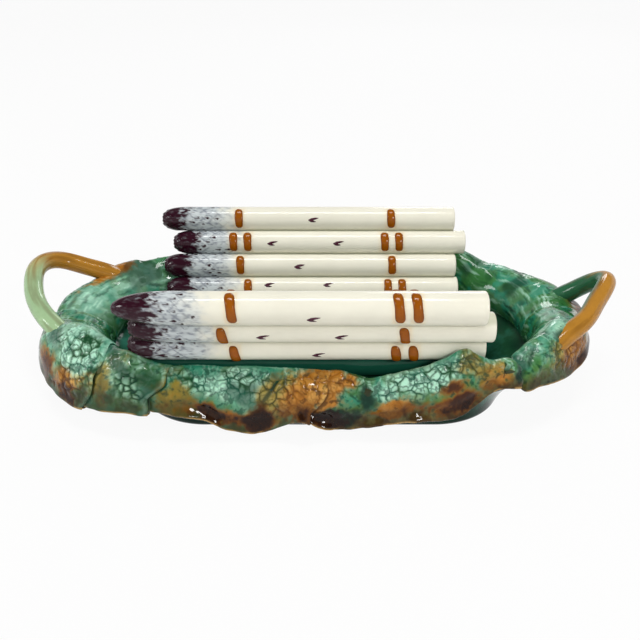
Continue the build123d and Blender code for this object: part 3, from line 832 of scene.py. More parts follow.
def glazed_material(name, paint, size=0.02, amount=0.5, ripple=0.12, roughness=0.09, shine=0.2):
    """A glossy glaze over a colour, which paint(nodes) gives as an output or a plain colour."""
    material = bpy.data.materials.new(name)
    nodes = fresh_nodes(material)
    mottle = nodes.add("ShaderNodeGroup", node_tree=mottled_glaze())
    mottle.inputs["Size"].default_value = size
    mottle.inputs["Amount"].default_value = amount
    nodes.put(paint(nodes), mottle.inputs["Color"])
    bump = nodes.add("ShaderNodeBump")
    bump.inputs["Strength"].default_value = ripple
    bump.inputs["Distance"].default_value = RIPPLE_HEIGHT
    nodes.link(mottle.outputs["Height"], bump.inputs["Height"])
    glaze = nodes.add("ShaderNodeBsdfPrincipled")
    glaze.inputs["Roughness"].default_value = roughness
    glaze.inputs["IOR"].default_value = GLAZE_IOR
    glaze.inputs["Specular IOR Level"].default_value = shine
    nodes.link(mottle.outputs["Color"], glaze.inputs["Base Color"])
    nodes.link(bump.outputs["Normal"], glaze.inputs["Normal"])
    end = nodes.add("ShaderNodeOutputMaterial")
    nodes.link(glaze.outputs[0], end.inputs["Surface"])
    return material


def pooled(nodes, pool, thin, pale, body, deep):
    """Places the pooled glaze group and returns its colour."""
    node = nodes.add("ShaderNodeGroup", node_tree=pooled_glaze_and_shade())
    for socket, value in zip(node.inputs, (pool, thin, pale, body, deep)):
        nodes.put(value, socket)
    return node.outputs["Color"]


# Leaves

CREST_COLUMN = 44
EDGE_COLUMN = CREST_COLUMN + 74
LIP_COLUMNS = 8
UNDER_COLUMNS = 20
BACK_COLUMNS = 10
TABLE_STEP = 0.06
TABLE_MARGIN = 4.5
PER_SHARE = RIM_ROUND / 100
SEED_STEP = 31

# Sizes of the noises that the leaves are drawn from, and how far two of them bend the vein nets
BEND_SIZE = 8 * MM
CRINKLE_SIZE = 2.8 * MM
WANDER_SIZE = 11 * MM
CLOUD_SIZE = 9 * MM
GRAIN_SIZE = 2.4 * MM
SWELL_SIZE = 17 * MM
RIB_STEP = 1.5 * MM
RIBS_ACROSS = 7
RIB_BEND = 5
STREAK_LENGTH = 16 * MM
STREAK_STEP = 2.2 * MM
STREAK_BEND = 1.6
CURL_LENGTH = 15 * MM
RUFFLE_LENGTH = 8 * MM
NET_BEND = 3.2 * MM
NET_CRINKLE = 1.5 * MM

# Places on a leaf: how its inside blends into its outside, its crest, and the lip that veins stop short of
OUTSIDE_BLEND = (-2 * MM, 5 * MM)
CREST_MIDDLE = 1 * MM
CREST_WIDTH = 8 * MM
CALM_LIP = (2.5 * MM, 6 * MM)
HEM_PLACE = 5 * MM
HEM_WIDTH = 2.6 * MM
LINE_WIDTH = 0.45 * MM
LIP_WIDTH = 1 * MM

# Widths of the veins, and heights of what stands between them
MAIN_VEIN = 0.28 * MM
DENSE_VEIN = 0.52 * MM
HAIR_VEIN = 0.3 * MM
HAIR_VEIN_SHARE = 0.55
DOME_ROUND = 1.5 * MM
DENSE_DOME_ROUND = 0.9 * MM
DOME_HEIGHT = 0.5 * MM
RIB_HEIGHT = 0.32 * MM
STREAK_HEIGHT = 0.35 * MM

# Laps: reach of the raised border, its corner and its bright ridge, and depth of the border under it
LAP_REACH = 8 * MM
LAP_CORNER = 1.4
RIDGE_PLACE = 1.6 * MM
RIDGE_WIDTH = 1.1 * MM
LAP_SINK = 0.8
SINK_BLEND = (2.0 * MM, -0.6 * MM)
# Seam under a lap: where it darkens and how dark, pooled glaze with painted shade under the lapping border
SEAM_BLEND = (1.9 * MM, 0.1 * MM)
SEAM_POOL_AND_SHADE = 0.75

# Curl of the free edge: an outward lip above a drawn-in neck, and the reach of its ruffle
CURL_LIP = 0.6
CURL_LIP_WIDTH = 2.2 * MM
NECK_PLACE = 7 * MM
NECK_WIDTH = 4 * MM
RUFFLE_REACH = 8 * MM

# How dark the glaze pools, and how dark the painted shade is on the lower hem, which faces down
NET_POOL = 0.8
FOLD_POOL = 0.8
HOLLOW_POOL = 0.75
SPECK_POOL = 0.7
RIB_POOL = 0.14
HEM_POOL = 0.85
EDGE_SHADE = 0.75

# How thin and pale it lies on what stands out
CREST_THIN = 0.5
DOME_THIN = 0.65
DENSE_THIN = 0.5
RIDGE_THIN = 0.6
RIB_THIN = 0.1
FOLD_THIN = 0.6
STREAK_THIN = 0.55


def leaf_stations(name):
    """Stations of a leaf and two of each neighbour, so that the leaf can run on past its borders."""
    order = list(LEAVES)
    index = order.index(name)
    before = LEAVES[order[index - 1]][-3:-1]
    after = LEAVES[order[(index + 1) % len(order)]][1:3]
    low = 100 if index == 0 else 0
    high = 100 if index == len(order) - 1 else 0
    stations = [(station[0] - low, *station[1:]) for station in before]
    stations += LEAVES[name]
    return stations + [(station[0] + high, *station[1:]) for station in after]


def leaf_sections(stations, shares):
    """Closed sections of a leaf, as points (out, up), at places round the rim."""
    crest_out, crest_up, edge_out, edge_up = (along_stations(stations, shares) * MM).T
    endwise = rim_at(shares)[1][:, 0] ** 2
    root = SIDE_ROOT + (END_ROOT - SIDE_ROOT) * endwise
    belly = SIDE_BELLY + (END_BELLY - SIDE_BELLY) * endwise
    reach = np.maximum(LEAST_BEND, REACH * (crest_out + root))
    fold = np.maximum(LEAST_BEND, FOLD * (edge_out - crest_out))
    drop = DROP * (crest_up - edge_up)
    lift = LIFT * crest_up
    outer_edge = edge_out + LEAF_EDGE
    hollow_out = crest_out + HOLLOW_SHIFT
    hollow_up = crest_up - LEAF_THICKNESS
    low = edge_up - LIP_ROUND * 4 / 3
    zero = np.zeros_like(root)
    crest = (crest_out, crest_up)
    edge = (outer_edge, edge_up)
    inner_edge = (edge_out, edge_up)
    hollow = (hollow_out, hollow_up)
    outer_columns = EDGE_COLUMN - CREST_COLUMN
    runs = (
        (CREST_COLUMN, (-root, zero), (-root - belly, lift), (crest_out - reach, crest_up), crest),
        (outer_columns, crest, (crest_out + fold, crest_up), (outer_edge, edge_up + drop), edge),
        (LIP_COLUMNS, edge, (outer_edge, low), (edge_out, low), inner_edge),
        (UNDER_COLUMNS, inner_edge, (edge_out, edge_up + drop), (hollow_out + fold, hollow_up), hollow),
        (BACK_COLUMNS, hollow, (hollow_out - LEAST_BEND, hollow_up), (-belly, lift), (zero, zero)),
    )
    pieces = [bezier(np.linspace(0, 1, count, endpoint=False), *corners) for count, *corners in runs]
    end = np.zeros((len(shares), 1, 2))
    return np.concatenate([*pieces, end], axis=1)


def leaf_table(name):
    """Dense table of a leaf: first place, points, place across, distances from the crest and the lip."""
    stations = leaf_stations(name)
    first = LEAVES[name][0][0] - TABLE_MARGIN
    shares = np.arange(first, LEAVES[name][-1][0] + TABLE_MARGIN, TABLE_STEP)
    section = leaf_sections(stations, shares)
    place, outward = rim_at(shares)
    points = np.zeros((*section.shape[:2], 3))
    points[..., :2] = place[:, None, :] + section[..., :1] * outward[:, None, :]
    points[..., 2] = RIM_HEIGHT + section[..., 1]
    steps = np.linalg.norm(np.diff(points, axis=1), axis=-1)
    run = np.concatenate([np.zeros((len(points), 1)), np.cumsum(steps, axis=1)], axis=1)
    crest, edge = run[:, CREST_COLUMN, None], run[:, EDGE_COLUMN, None]
    across = np.where(run <= crest, 0.5 * run / crest, 0.5 + 0.5 * (run - crest) / (edge - crest))
    lip_end = run[:, EDGE_COLUMN + LIP_COLUMNS, None]
    from_lip = np.where(run <= edge, edge - run, np.maximum(run - lip_end, 0))
    return first, points, across, run - crest, from_lip


def sampled(table, first, shares):
    """Values of a dense table at places that differ from column to column."""
    at = np.clip((shares - first) / TABLE_STEP, 0, len(table) - 1.001)
    low = at.astype(int)
    part = at - low
    if table.ndim == 3:
        part = part[..., None]
    columns = np.arange(table.shape[1])[None, :]
    return table[low, columns] * (1 - part) + table[low + 1, columns] * part


def leaf_border(name, share, across):
    """Border of a leaf near a place, a place for each column, and whether the leaf lies over there."""
    for place, over, _, strays in BORDERS:
        if (place - share + 1) % 100 < 2:
            stray = np.interp(across, BORDER_STOPS, strays) + 0.14 * np.sin(21 * across + place)
            return share + stray, over == name
    raise RuntimeError(f"{name} has no border at {share}")


def glaze_patches(shares, across, wander, second):
    """Amounts of amber, brown, olive, pale, net, dense net and dark for each point of a leaf."""
    layers = np.zeros((*wander.shape, 7))
    for place, middle, place_reach, across_reach, *amounts in PATCHES:
        gap = (shares - place + 50) % 100 - 50 + 1.5 * place_reach * (wander - 0.5)
        rise = across - middle + 1.5 * across_reach * (second - 0.5)
        far = (gap / place_reach) ** 2 + (rise / across_reach) ** 2
        layers += np.exp(-0.7 * far**1.4)[..., None] * np.array(amounts)
    return np.moveaxis(np.clip(layers, 0, 1.2), -1, 0)


def leaf_folds(name, table, points):
    """Height of the hand-made folds at each point of a leaf."""
    first, places, across = table[:3]
    height = np.zeros(points.shape[:-1])
    for share_a, across_a, share_b, across_b, width, rise in FOLDS[name]:
        ends = []
        for share, part in ((share_a, across_a), (share_b, across_b)):
            row = int((share - first) / TABLE_STEP)
            ends.append(places[row, np.argmin(np.abs(across[row, :EDGE_COLUMN] - part))])
        line = ends[1] - ends[0]
        t = np.clip((points - ends[0]) @ line / (line @ line), 0, 1)
        far = np.linalg.norm(points - ends[0] - t[..., None] * line, axis=-1)
        height += rise * MM * bell(far, width * MM) * np.sqrt(1 - 0.75 * (2 * t - 1) ** 2)
    return height


class ReliefLeaf:
    """One leaf: its grid of points, the patterns drawn on it, and the relief and glazes made from them."""

    def __init__(self, name, settings):
        self.name, self.settings = name, settings
        self.seed = settings.seed + SEED_STEP * list(LEAVES).index(name)
        self.table = leaf_table(name)
        self.lay_grid()
        self.draw_noises()
        self.place_patches()
        self.draw_veins()

    def lay_grid(self):
        """Rows of points between the borders of the leaf, and where each point lies on it."""
        first, *parts = self.table
        column_across = parts[1][len(parts[1]) // 2].clip(0, 1)
        start, start_over = leaf_border(self.name, LEAVES[self.name][0][0], column_across)
        end, end_over = leaf_border(self.name, LEAVES[self.name][-1][0], column_across)
        self.borders = ((start, start_over, 1), (end, end_over, -1))
        low = start if start_over else start - UNDERLAP
        high = end if end_over else end + UNDERLAP
        self.rows = int((high.mean() - low.mean()) * PER_SHARE / self.settings.step)
        self.shares = low + (high - low) * np.linspace(0, 1, self.rows)[:, None]
        sampled_parts = [sampled(part, first, self.shares) for part in parts]
        self.points, self.across, self.from_crest, self.from_lip = sampled_parts
        self.normals = surface_normals(self.points)
        if self.normals[:, CREST_COLUMN, 2].mean() < 0:
            self.normals = -self.normals
        column = np.arange(self.points.shape[1])[None, :]
        self.shown = (column <= EDGE_COLUMN + 2) * 1.0
        self.underside = column > EDGE_COLUMN + LIP_COLUMNS
        self.outer_half = (self.from_crest > 0) * 1.0
        self.outside = ramp(*OUTSIDE_BLEND, self.from_crest)
        self.crest = bell(self.from_crest - CREST_MIDDLE, CREST_WIDTH)
        self.calm = ramp(*CALM_LIP, self.from_lip)

    def draw_noises(self):
        """Noises in space, and others that follow the rim."""
        points, seed = self.points, self.seed
        self.bend = noise_vectors(layered_noise, points / BEND_SIZE, seed + 1)
        self.crinkle = noise_vectors(smooth_noise, points / CRINKLE_SIZE, seed + 41)
        self.wander = layered_noise(points / WANDER_SIZE, seed + 5)
        self.cloud = layered_noise(points / CLOUD_SIZE, seed + 9)
        self.grain = layered_noise(points / GRAIN_SIZE, seed + 17) - 0.5
        self.swell = layered_noise(points / SWELL_SIZE, seed + 13, 2) - 0.5
        run = self.shares * PER_SHARE
        rib_place = run / RIB_STEP + RIB_BEND * self.bend[..., 0]
        self.ribs = flat_noise(rib_place, RIBS_ACROSS * self.across, seed + 11)
        streak_place = self.from_crest / STREAK_STEP + STREAK_BEND * self.bend[..., 1]
        self.streaks = flat_noise(run / STREAK_LENGTH, streak_place, seed + 15)
        self.ruffle = flat_noise(run[:, EDGE_COLUMN, None] / RUFFLE_LENGTH, 0.0, seed + 21)
        self.curl = flat_noise(run / CURL_LENGTH, 0.0, seed + 25)

    def place_patches(self):
        """Patches of glaze and of vein nets, as masks from 0 to 1."""
        patches = glaze_patches(self.shares, self.across, self.wander, self.cloud)
        amber, brown, olive, self.pale, net, dense, dark = patches
        self.amber = ramp(0.14, 0.84, np.maximum(amber, brown) + 0.6 * self.grain)
        self.brown = ramp(0.36, 0.98, brown + 0.45 * self.grain)
        self.olive = ramp(0.14, 0.84, olive + 0.6 * self.grain)
        self.dark = ramp(0.14, 1.2, dark + 0.5 * self.grain)
        self.net = np.clip(net + 0.3 * self.outside * ramp(0.5, 0.66, self.wander), 0, 1)
        self.dense = np.clip(dense, 0, 1)

    def draw_veins(self):
        """Veins of the wide and the dense net, 1 in their middles, and the domes between them."""
        wide_cell, dense_cell = self.settings.big_cell, self.settings.small_cell
        warped = self.points + NET_BEND * self.bend + NET_CRINKLE * self.crinkle
        wide, _ = cell_walls(warped / wide_cell, self.seed + 3)
        dense, self.cell_number = cell_walls(warped / dense_cell, self.seed + 7)
        width = MAIN_VEIN * (1 + ramp(0.35, 0.65, self.cloud))
        self.main_vein = bell(wide * wide_cell, width)
        self.dense_vein = bell(dense * dense_cell, DENSE_VEIN)
        hair_vein = HAIR_VEIN_SHARE * self.net * bell(dense * dense_cell, HAIR_VEIN)
        self.fine_veins = np.maximum(self.dense_vein * self.dense, hair_vein)
        self.dome = 1 - np.exp(-wide * wide_cell / DOME_ROUND)
        self.dense_dome = 1 - np.exp(-dense * dense_cell / DENSE_DOME_ROUND)

    def relief(self):
        """Height of swellings, folds, veins, domes, ribs and streaks."""
        settings = self.settings
        open_part = self.calm * self.outside
        self.folds = leaf_folds(self.name, self.table, self.points) * self.calm
        height = settings.fold_height * 2 * self.swell * np.sin(math.pi * np.clip(self.across, 0, 1))
        height = height + self.folds
        height = height - settings.vein_depth * self.main_vein * (0.12 + 0.88 * self.net) * open_part
        height = height + DOME_HEIGHT * self.dome * self.net * open_part
        dense_net = DOME_HEIGHT * self.dense_dome - settings.net_depth * self.dense_vein
        height = height + dense_net * self.dense * self.calm
        height = height + RIB_HEIGHT * (self.ribs - 0.5) * (self.crest + 0.35 * open_part)
        return height + STREAK_HEIGHT * (self.streaks - 0.5) * (1 - self.outside)

    def lap(self, height):
        """Raises borders that lie over a neighbour and sinks those under one, less towards the crest, with
        painted shade along the sunk borders.
        """
        lap = self.settings.lap
        stand = 0.25 + 0.75 * ramp(0.52, 0.70, self.across)
        self.seam, self.ridge = np.zeros_like(height), np.zeros_like(height)
        for border, over, way in self.borders:
            inside = (self.shares - border) * way * PER_SHARE
            if over:
                corner = np.clip(1 - inside / lap, 0, 1)
                rounding = LAP_CORNER * (1 - np.sqrt(1 - corner**2))
                height = height + lap * stand * (bell(inside, LAP_REACH) - rounding)
                self.ridge = np.maximum(self.ridge, stand * bell(inside - RIDGE_PLACE, RIDGE_WIDTH))
            else:
                sink = LAP_SINK * lap * ramp(*SINK_BLEND, inside)
                height = height - stand * sink
                # Painted shade, with pooled glaze, on the leaf just under a lapping border
                self.seam = np.maximum(self.seam, SEAM_POOL_AND_SHADE * stand * ramp(*SEAM_BLEND, inside))
                self.points = self.points - self.normals * (sink * (1 - self.shown))[..., None]
        return height

    def curl_lip(self):
        """Curls the free edge outwards, unevenly, and ruffles it."""
        settings = self.settings
        curl = settings.flare * HEM_CURL.get(self.name, 1.0) * (0.5 + 0.5 * ramp(0.36, 0.62, self.curl))
        neck = bell(self.from_lip - NECK_PLACE, NECK_WIDTH)
        flare = curl * (CURL_LIP * bell(self.from_lip, CURL_LIP_WIDTH) - neck)
        ruffle = settings.ruffle * 2 * (self.ruffle - 0.5) * bell(self.from_lip, RUFFLE_REACH)
        way = self.normals[:, EDGE_COLUMN - 4, None, :]
        self.points = self.points + way * ((flare + ruffle) * self.outer_half)[..., None]

    def pools(self):
        """How far the glaze has pooled at each point, with painted shade on the lower hem, sunk borders and
        inner walls.
        """
        wide_net = NET_POOL * self.main_vein * self.outside * (0.1 + 0.9 * self.net)
        specks = ramp(-0.05, -0.22, self.grain + 0.4 * (self.cloud - 0.5))
        hem = bell(self.from_lip - HEM_PLACE, HEM_WIDTH) * ramp(0.4, 0.62, self.cloud)
        # Painted shade: the lower hem faces down, so it is darkened towards the free edge
        edge = ramp(0.74, 1.0, self.across + 0.3 * (self.wander - 0.5))
        # Inner walls: painted shade, deeper towards the root low in the dish, and darker streaks of pooled
        # glaze
        inner = 0.12 + 0.5 * ramp(0.3, 0.02, self.across) + 0.5 * ramp(0.42, 0.22, self.streaks)
        layers = (
            np.maximum(wide_net, self.fine_veins) * self.calm,
            self.seam,
            self.dark,
            FOLD_POOL * ramp(-0.25 * MM, -1.3 * MM, self.folds),
            HOLLOW_POOL * ramp(-0.08, -0.28, self.swell),
            SPECK_POOL * specks * self.outside,
            RIB_POOL * ramp(0.38, 0.2, self.ribs) * self.outside,
            HEM_POOL * hem * self.outside,
            EDGE_SHADE * edge * self.outside,
            inner * (1 - self.outside),
        )
        return np.clip(np.maximum.reduce(layers), 0, 1)

    def thinness(self):
        """How thin the glaze lies at each point; the veins are full of it."""
        layers = (
            self.pale * (0.45 + 0.55 * self.cell_number),
            CREST_THIN * self.crest * ramp(0.55, 0.8, self.ribs),
            DOME_THIN * self.dome * self.net * self.outside,
            DENSE_THIN * self.dense_dome * self.dense,
            RIDGE_THIN * self.ridge,
            RIB_THIN * ramp(0.6, 0.85, self.ribs) * self.outside,
            FOLD_THIN * ramp(0.5 * MM, 1.5 * MM, self.folds),
            STREAK_THIN * ramp(0.6, 0.85, self.streaks) * (1 - self.outside),
        )
        veins = np.maximum(self.main_vein * self.outside * self.net, self.fine_veins)
        return np.clip(sum(layers), 0, 1) * (1 - np.clip(veins, 0, 1))

    def glazes(self):
        """Layers for the glaze: relief (pool with painted shade, thin, tone) and glaze (amber, brown,
        olive, line).
        """
        warmth = HEM_WARMTH.get(self.name, PLAIN_WARMTH)
        reach = self.across + 0.16 * (self.wander - 0.5) + 0.1 * self.grain
        lip = bell(self.from_lip, LIP_WIDTH) * self.outer_half
        amber = self.amber + warmth * (ramp(0.80, 0.95, reach) * self.outside + 0.3 * lip)
        amber = np.where(self.underside, 0, np.clip(amber, 0, 1))
        singed = ramp(0.86, 0.97, reach) * ramp(0.40, 0.56, self.cloud + 0.3 * self.grain) * self.outside
        brown = np.clip(self.brown + (0.3 + 0.7 * warmth) * singed, 0, 1)
        olive = np.clip(self.olive + 0.7 * warmth * ramp(0.70, 0.82, reach) * self.outside, 0, 1)
        line = 0.7 * bell(self.from_lip, LINE_WIDTH) * self.outer_half * ramp(0.42, 0.62, self.wander)
        tone = ramp(0.40, 0.62, self.cloud + GREENER.get(self.name, 0.0))
        relief = np.stack([self.pools(), self.thinness(), tone, np.ones_like(tone)], axis=-1)
        return {"relief": relief, "glaze": np.stack([amber, brown, olive, line], axis=-1)}

    def build(self, material):
        """Makes the piece that stands for the leaf's solid, lapping over or under its neighbours."""
        height = self.lap(self.relief())
        self.points = self.points + self.normals * (height * self.shown)[..., None]
        self.curl_lip()
        faces = capped_faces(self.rows, self.points.shape[1])
        name = f"{self.name}_relief"
        return add_piece(name, self.points, faces, material, self.glazes(), (self.name,))


def leaf_material(settings):
    """Turquoise glaze, dark in the veins, with amber, brown and olive patches and a gold lip."""

    def paint(nodes):
        # The pool layer also carries the painted shade of the hems, sunk borders and inner walls
        pool, thin, tone, _ = nodes.layers("relief")
        amber, brown, olive, line = nodes.layers("glaze")
        body = nodes.mix(tone, settings.turquoise, settings.green)
        green = pooled(nodes, pool, thin, settings.pale, body, settings.deep)
        warm = pooled(nodes, pool, thin, settings.honey, settings.amber, settings.brown)
        moss = pooled(nodes, pool, thin, settings.straw, settings.olive, settings.deep)
        rust_body = nodes.mix(tone, settings.brown, settings.chestnut)
        rust = pooled(nodes, pool, thin, settings.amber, rust_body, settings.brown)
        colour_now = nodes.mix(olive, green, moss)
        colour_now = nodes.mix(amber, colour_now, warm)
        colour_now = nodes.mix(brown, colour_now, rust)
        return nodes.mix(line, colour_now, settings.gold)

    return glazed_material("leaf_glaze_relief", paint, size=0.006, amount=0.7, ripple=0.1, roughness=0.06)


class PLATE_OT_leaves(bpy.types.Operator):
    """Makes the nine relief leaves of the border"""

    bl_idname = "plate.leaves"
    bl_label = "Leaves"

    def execute(self, context):
        settings = context.scene.plate_leaf
        material = leaf_material(settings)
        for name in LEAVES:
            ReliefLeaf(name, settings).build(material)
        return {"FINISHED"}


# Stalks

STALK_SEED = 100
ROW_SEED = 10
BACK_SEED = 5
BUD_POINTS = 56
CORNER_POINTS = 7

# Waver of a stalk's surface: its size and limit, where it starts, and the least radius that has it
WAVER_SIZE = 16 * MM
WAVER_LIMIT = 0.1 * MM
WAVER_START = 4 * MM
WAVER_RADIUS = 3 * MM

# Paint of a bud, in mm: blur of the end of the purple, how far strokes and luck shift it, how far single
# darts reach past it, where strokes and wash fade out, and how wide the lines round its scales are
PURPLE_BLUR = 3
STROKE_SHIFT = 18
LUCK_SHIFT = 7
DART_REACH = 28
STROKE_FADE = (40, 62)
WASH_FADE = (38, 66)
FADE_SHIFT = 20
SCALE_LINE = 0.45
SCALE_SHADE = 1.4
BUD_CLOUD = 5 * MM

# Stains: reach of the halo round a straw, size of the clouds, and where green has run, above the bed
HALO_REACH = 1.1 * MM
STAIN_SIZE = 12 * MM
RUN_HEIGHTS = (17 * MM, 8 * MM)
POOL_HEIGHT = 4 * MM
RUN_SIDE = -2 * MM

# Layers at the tip and at the middle of the cut end
POLE_LAYERS = {
    "paint": ((1, 0, 0, 0), (0, 0, 0, 0)),
    "stain": ((0, 0, 0.5, 1), (0, 0, 0.5, 1)),
}

# Scales of a bud: points each way, size, length, depth in the bud, steepest seat and gap to the next stalk
SCALE_POINTS = 7
SCALE_SIZE = 6 * MM
SCALE_LENGTH = 1.35
SCALE_SINK = 0.12
SCALE_STEEPEST = 3
SCALE_GAP = 0.6 * MM


class Stalk:
    """Place and size of one stalk, read from its solid and its wall."""

    def __init__(self, wall, row):
        self.wall, self.row = wall, row
        self.node = f"{wall}_stalk_{row}"
        self.seed = STALK_SEED + ROW_SEED * row + (BACK_SEED if wall == "back" else 0)
        low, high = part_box(self.node)
        self.radius = (high.y - low.y) / 2
        self.tip, self.cut_end = low.x, high.x
        self.stout = wall == "front" and row == 1
        self.bud = TOP_FRONT_BUD_LENGTH if self.stout else BUD_LENGTH
        self.bluntness = TOP_FRONT_BUD_BLUNTNESS if self.stout else BUD_BLUNTNESS
        self.middle = np.array([0.0, (low.y + high.y) / 2, high.z - self.radius])
        rise = self.crown(2) - self.crown(3)
        self.pitch = np.linalg.norm(rise)
        self.up = rise / self.pitch
        outward = np.array([0.0, self.up[2], -self.up[1]])
        self.outward = outward * np.sign(outward[1] * self.middle[1])

    def crown(self, row):
        """Middle of the top of a stalk of this wall."""
        low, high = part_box(f"{self.wall}_stalk_{row}")
        return np.array([0.0, (low.y + high.y) / 2, high.z])

    def direction(self, turn):
        """Unit vectors square to the stalk; turn is 0 outside the wall and a quarter turn up it."""
        turn = np.asarray(turn)[..., None]
        return self.outward * np.cos(turn) + self.up * np.sin(turn)


STALKS = {(wall, row): Stalk(wall, row) for wall in WALLS for row in ROWS}
BED_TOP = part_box("cradle_bed")[1].z


def stalk_profile(stalk, step):
    """Places along a stalk and its radius there, from the tip to the middle of the cut end."""
    t = np.linspace(0, 1, BUD_POINTS)
    radius = stalk.radius
    shoulder = stalk.tip + stalk.bud
    full = shoulder - BUD_FULLNESS * stalk.bud
    bud = bezier(
        t,
        ([stalk.tip], [0.0]),
        ([stalk.tip], [stalk.bluntness * radius]),
        ([full], [radius]),
        ([shoulder], [radius]),
    )[0]
    body_end = stalk.cut_end - CUT_END_ROUND
    body_x = np.arange(shoulder + step, body_end, step)
    body = np.stack([body_x, np.full_like(body_x, radius)], axis=-1)
    turn = np.linspace(0, math.pi / 2, CORNER_POINTS)
    corner_x = body_end + CUT_END_ROUND * np.sin(turn)
    corner = np.stack([corner_x, radius - CUT_END_ROUND * (1 - np.cos(turn))], axis=-1)
    face_radius = np.linspace(radius - CUT_END_ROUND, 0, CORNER_POINTS)[1:]
    face = np.stack([np.full_like(face_radius, stalk.cut_end), face_radius], axis=-1)
    return np.concatenate([bud[1:], body, corner, face[:-1]])


def straw_row(middle, count):
    """Middles along X of straws that lie side by side, in metres."""
    return [middle * MM + STRAW_STEP * (copy - (count - 1) / 2) for copy in range(count)]


def straw_places(wall, row):
    """Middles along X of the straws on a stalk, in metres."""
    places = []
    for binding_wall, rows in BINDINGS.values():
        for binding_row, middle, count in rows:
            if (binding_wall, binding_row) == (wall, row):
                places += straw_row(middle, count)
    return places


def straw_span(stalk, face):
    """Middle and reach, as turns round the stalk, of a straw on the outer (+1) or inner (-1) face."""
    if face > 0:
        return (TOP_FRONT_STRAW_LIFT, TOP_FRONT_STRAW_ARC) if stalk.stout else (0.0, STRAW_ARC)
    return (math.pi + TOP_FRONT_STRAW_DIP if stalk.stout else math.pi, STRAW_ARC)


def bud_paint(stalk, along, turn, points):
    """Purple, grey strokes and wash of a bud, by the way from its tip and the turn round the stalk."""
    rise = along / BUD_STEP
    ring = turn / (2 * math.pi) * BUD_RING
    cell_a, cell_b = np.floor(rise + ring), np.floor(rise - ring)
    in_a, in_b = rise + ring - cell_a, rise - ring - cell_b
    middle = (cell_a + cell_b + 1) / 2 * BUD_STEP / MM
    cells = np.stack([cell_a + cell_b, (cell_a - cell_b) % (2 * BUD_RING), 0 * rise], axis=-1)
    cells = cells.astype(np.int64)
    luck, chance = hashed(cells, stalk.seed + 9), hashed(cells, stalk.seed + 10)
    stroke = layered_noise(points / BRUSH_STROKE, stalk.seed + 5)
    cloud = layered_noise(points / BUD_CLOUD, stalk.seed)
    far = along / MM
    limit = TOP_FRONT_PURPLE if stalk.stout else PURPLE
    shifted = far + STROKE_SHIFT * (stroke - 0.5) + LUCK_SHIFT * (luck - 0.5)
    solid = ramp(limit + PURPLE_BLUR, limit - PURPLE_BLUR, shifted)
    solid = solid * (1 - 0.2 * ramp(0.5, 0.75, stroke) * luck)
    lengthwise, sideways = (in_a + in_b) / 2, (in_a - in_b) / 2
    dart = np.abs(sideways) - 0.30 * (lengthwise - 0.08) + ramp(0.5, 0.85, lengthwise)
    dart = ramp(0.05, -0.05, dart + 0.5 * (stroke - 0.5))
    last_dart = limit + DART_REACH
    dart = dart * (chance > 0.25 + 0.5 * ramp(limit, last_dart, middle)) * (middle < last_dart)
    edge = np.minimum(np.minimum(in_a, in_b), np.minimum(1 - in_a, 1 - in_b)) * BUD_STEP / MM
    line = 0.75 * bell(edge, SCALE_LINE) * ramp(0.42, 0.56, cloud + 0.6 * (stroke - 0.5))
    soft = (0.25 + 0.75 * bell(edge, SCALE_SHADE)) * ramp(0.42, 0.62, stroke)
    clouded = far + FADE_SHIFT * (cloud - 0.5)
    hatch = np.maximum(0.7 * soft, line) * (1 - ramp(*STROKE_FADE, clouded))
    wash = 1 - ramp(*WASH_FADE, clouded)
    return tuple(np.clip(layer, 0, 1) for layer in (np.maximum(solid, dart), hatch, wash))


def stalk_surface(stalk, settings):
    """Grid of a stalk: places along X, turns, distances out of and up the wall, and points."""
    profile = stalk_profile(stalk, settings.step)
    turn = np.linspace(0, 2 * math.pi, settings.columns, endpoint=False)
    shape = (len(profile), settings.columns)
    x, turns = np.broadcast_to(profile[:, :1], shape), np.broadcast_to(turn, shape)
    plain_radius = profile[:, 1:]
    axis = np.zeros((*shape, 3))
    axis[..., 0] = x
    axis[..., 1:] = stalk.middle[1:]
    plain = axis + stalk.direction(turns) * plain_radius[..., None]
    waver = settings.waver * 2 * (layered_noise(plain / WAVER_SIZE, stalk.seed) - 0.5)
    waver = np.minimum(waver * ramp(0, WAVER_START, x - stalk.tip), WAVER_LIMIT)
    radius = np.maximum(plain_radius + waver * (plain_radius > WAVER_RADIUS), 0)
    side = radius * np.cos(turn)
    upper = stalk.pitch / 2 if stalk.row > 1 else 1.0
    lower = -stalk.pitch / 2 if stalk.row < ROWS[-1] else -1.0
    rise = np.clip(radius * np.sin(turn), lower, upper)
    points = axis + stalk.outward * side[..., None] + stalk.up * rise[..., None]
    if stalk.row == ROWS[-1]:
        points[..., 2] = np.maximum(points[..., 2], BED_TOP)
    return x, turns, side, rise, points


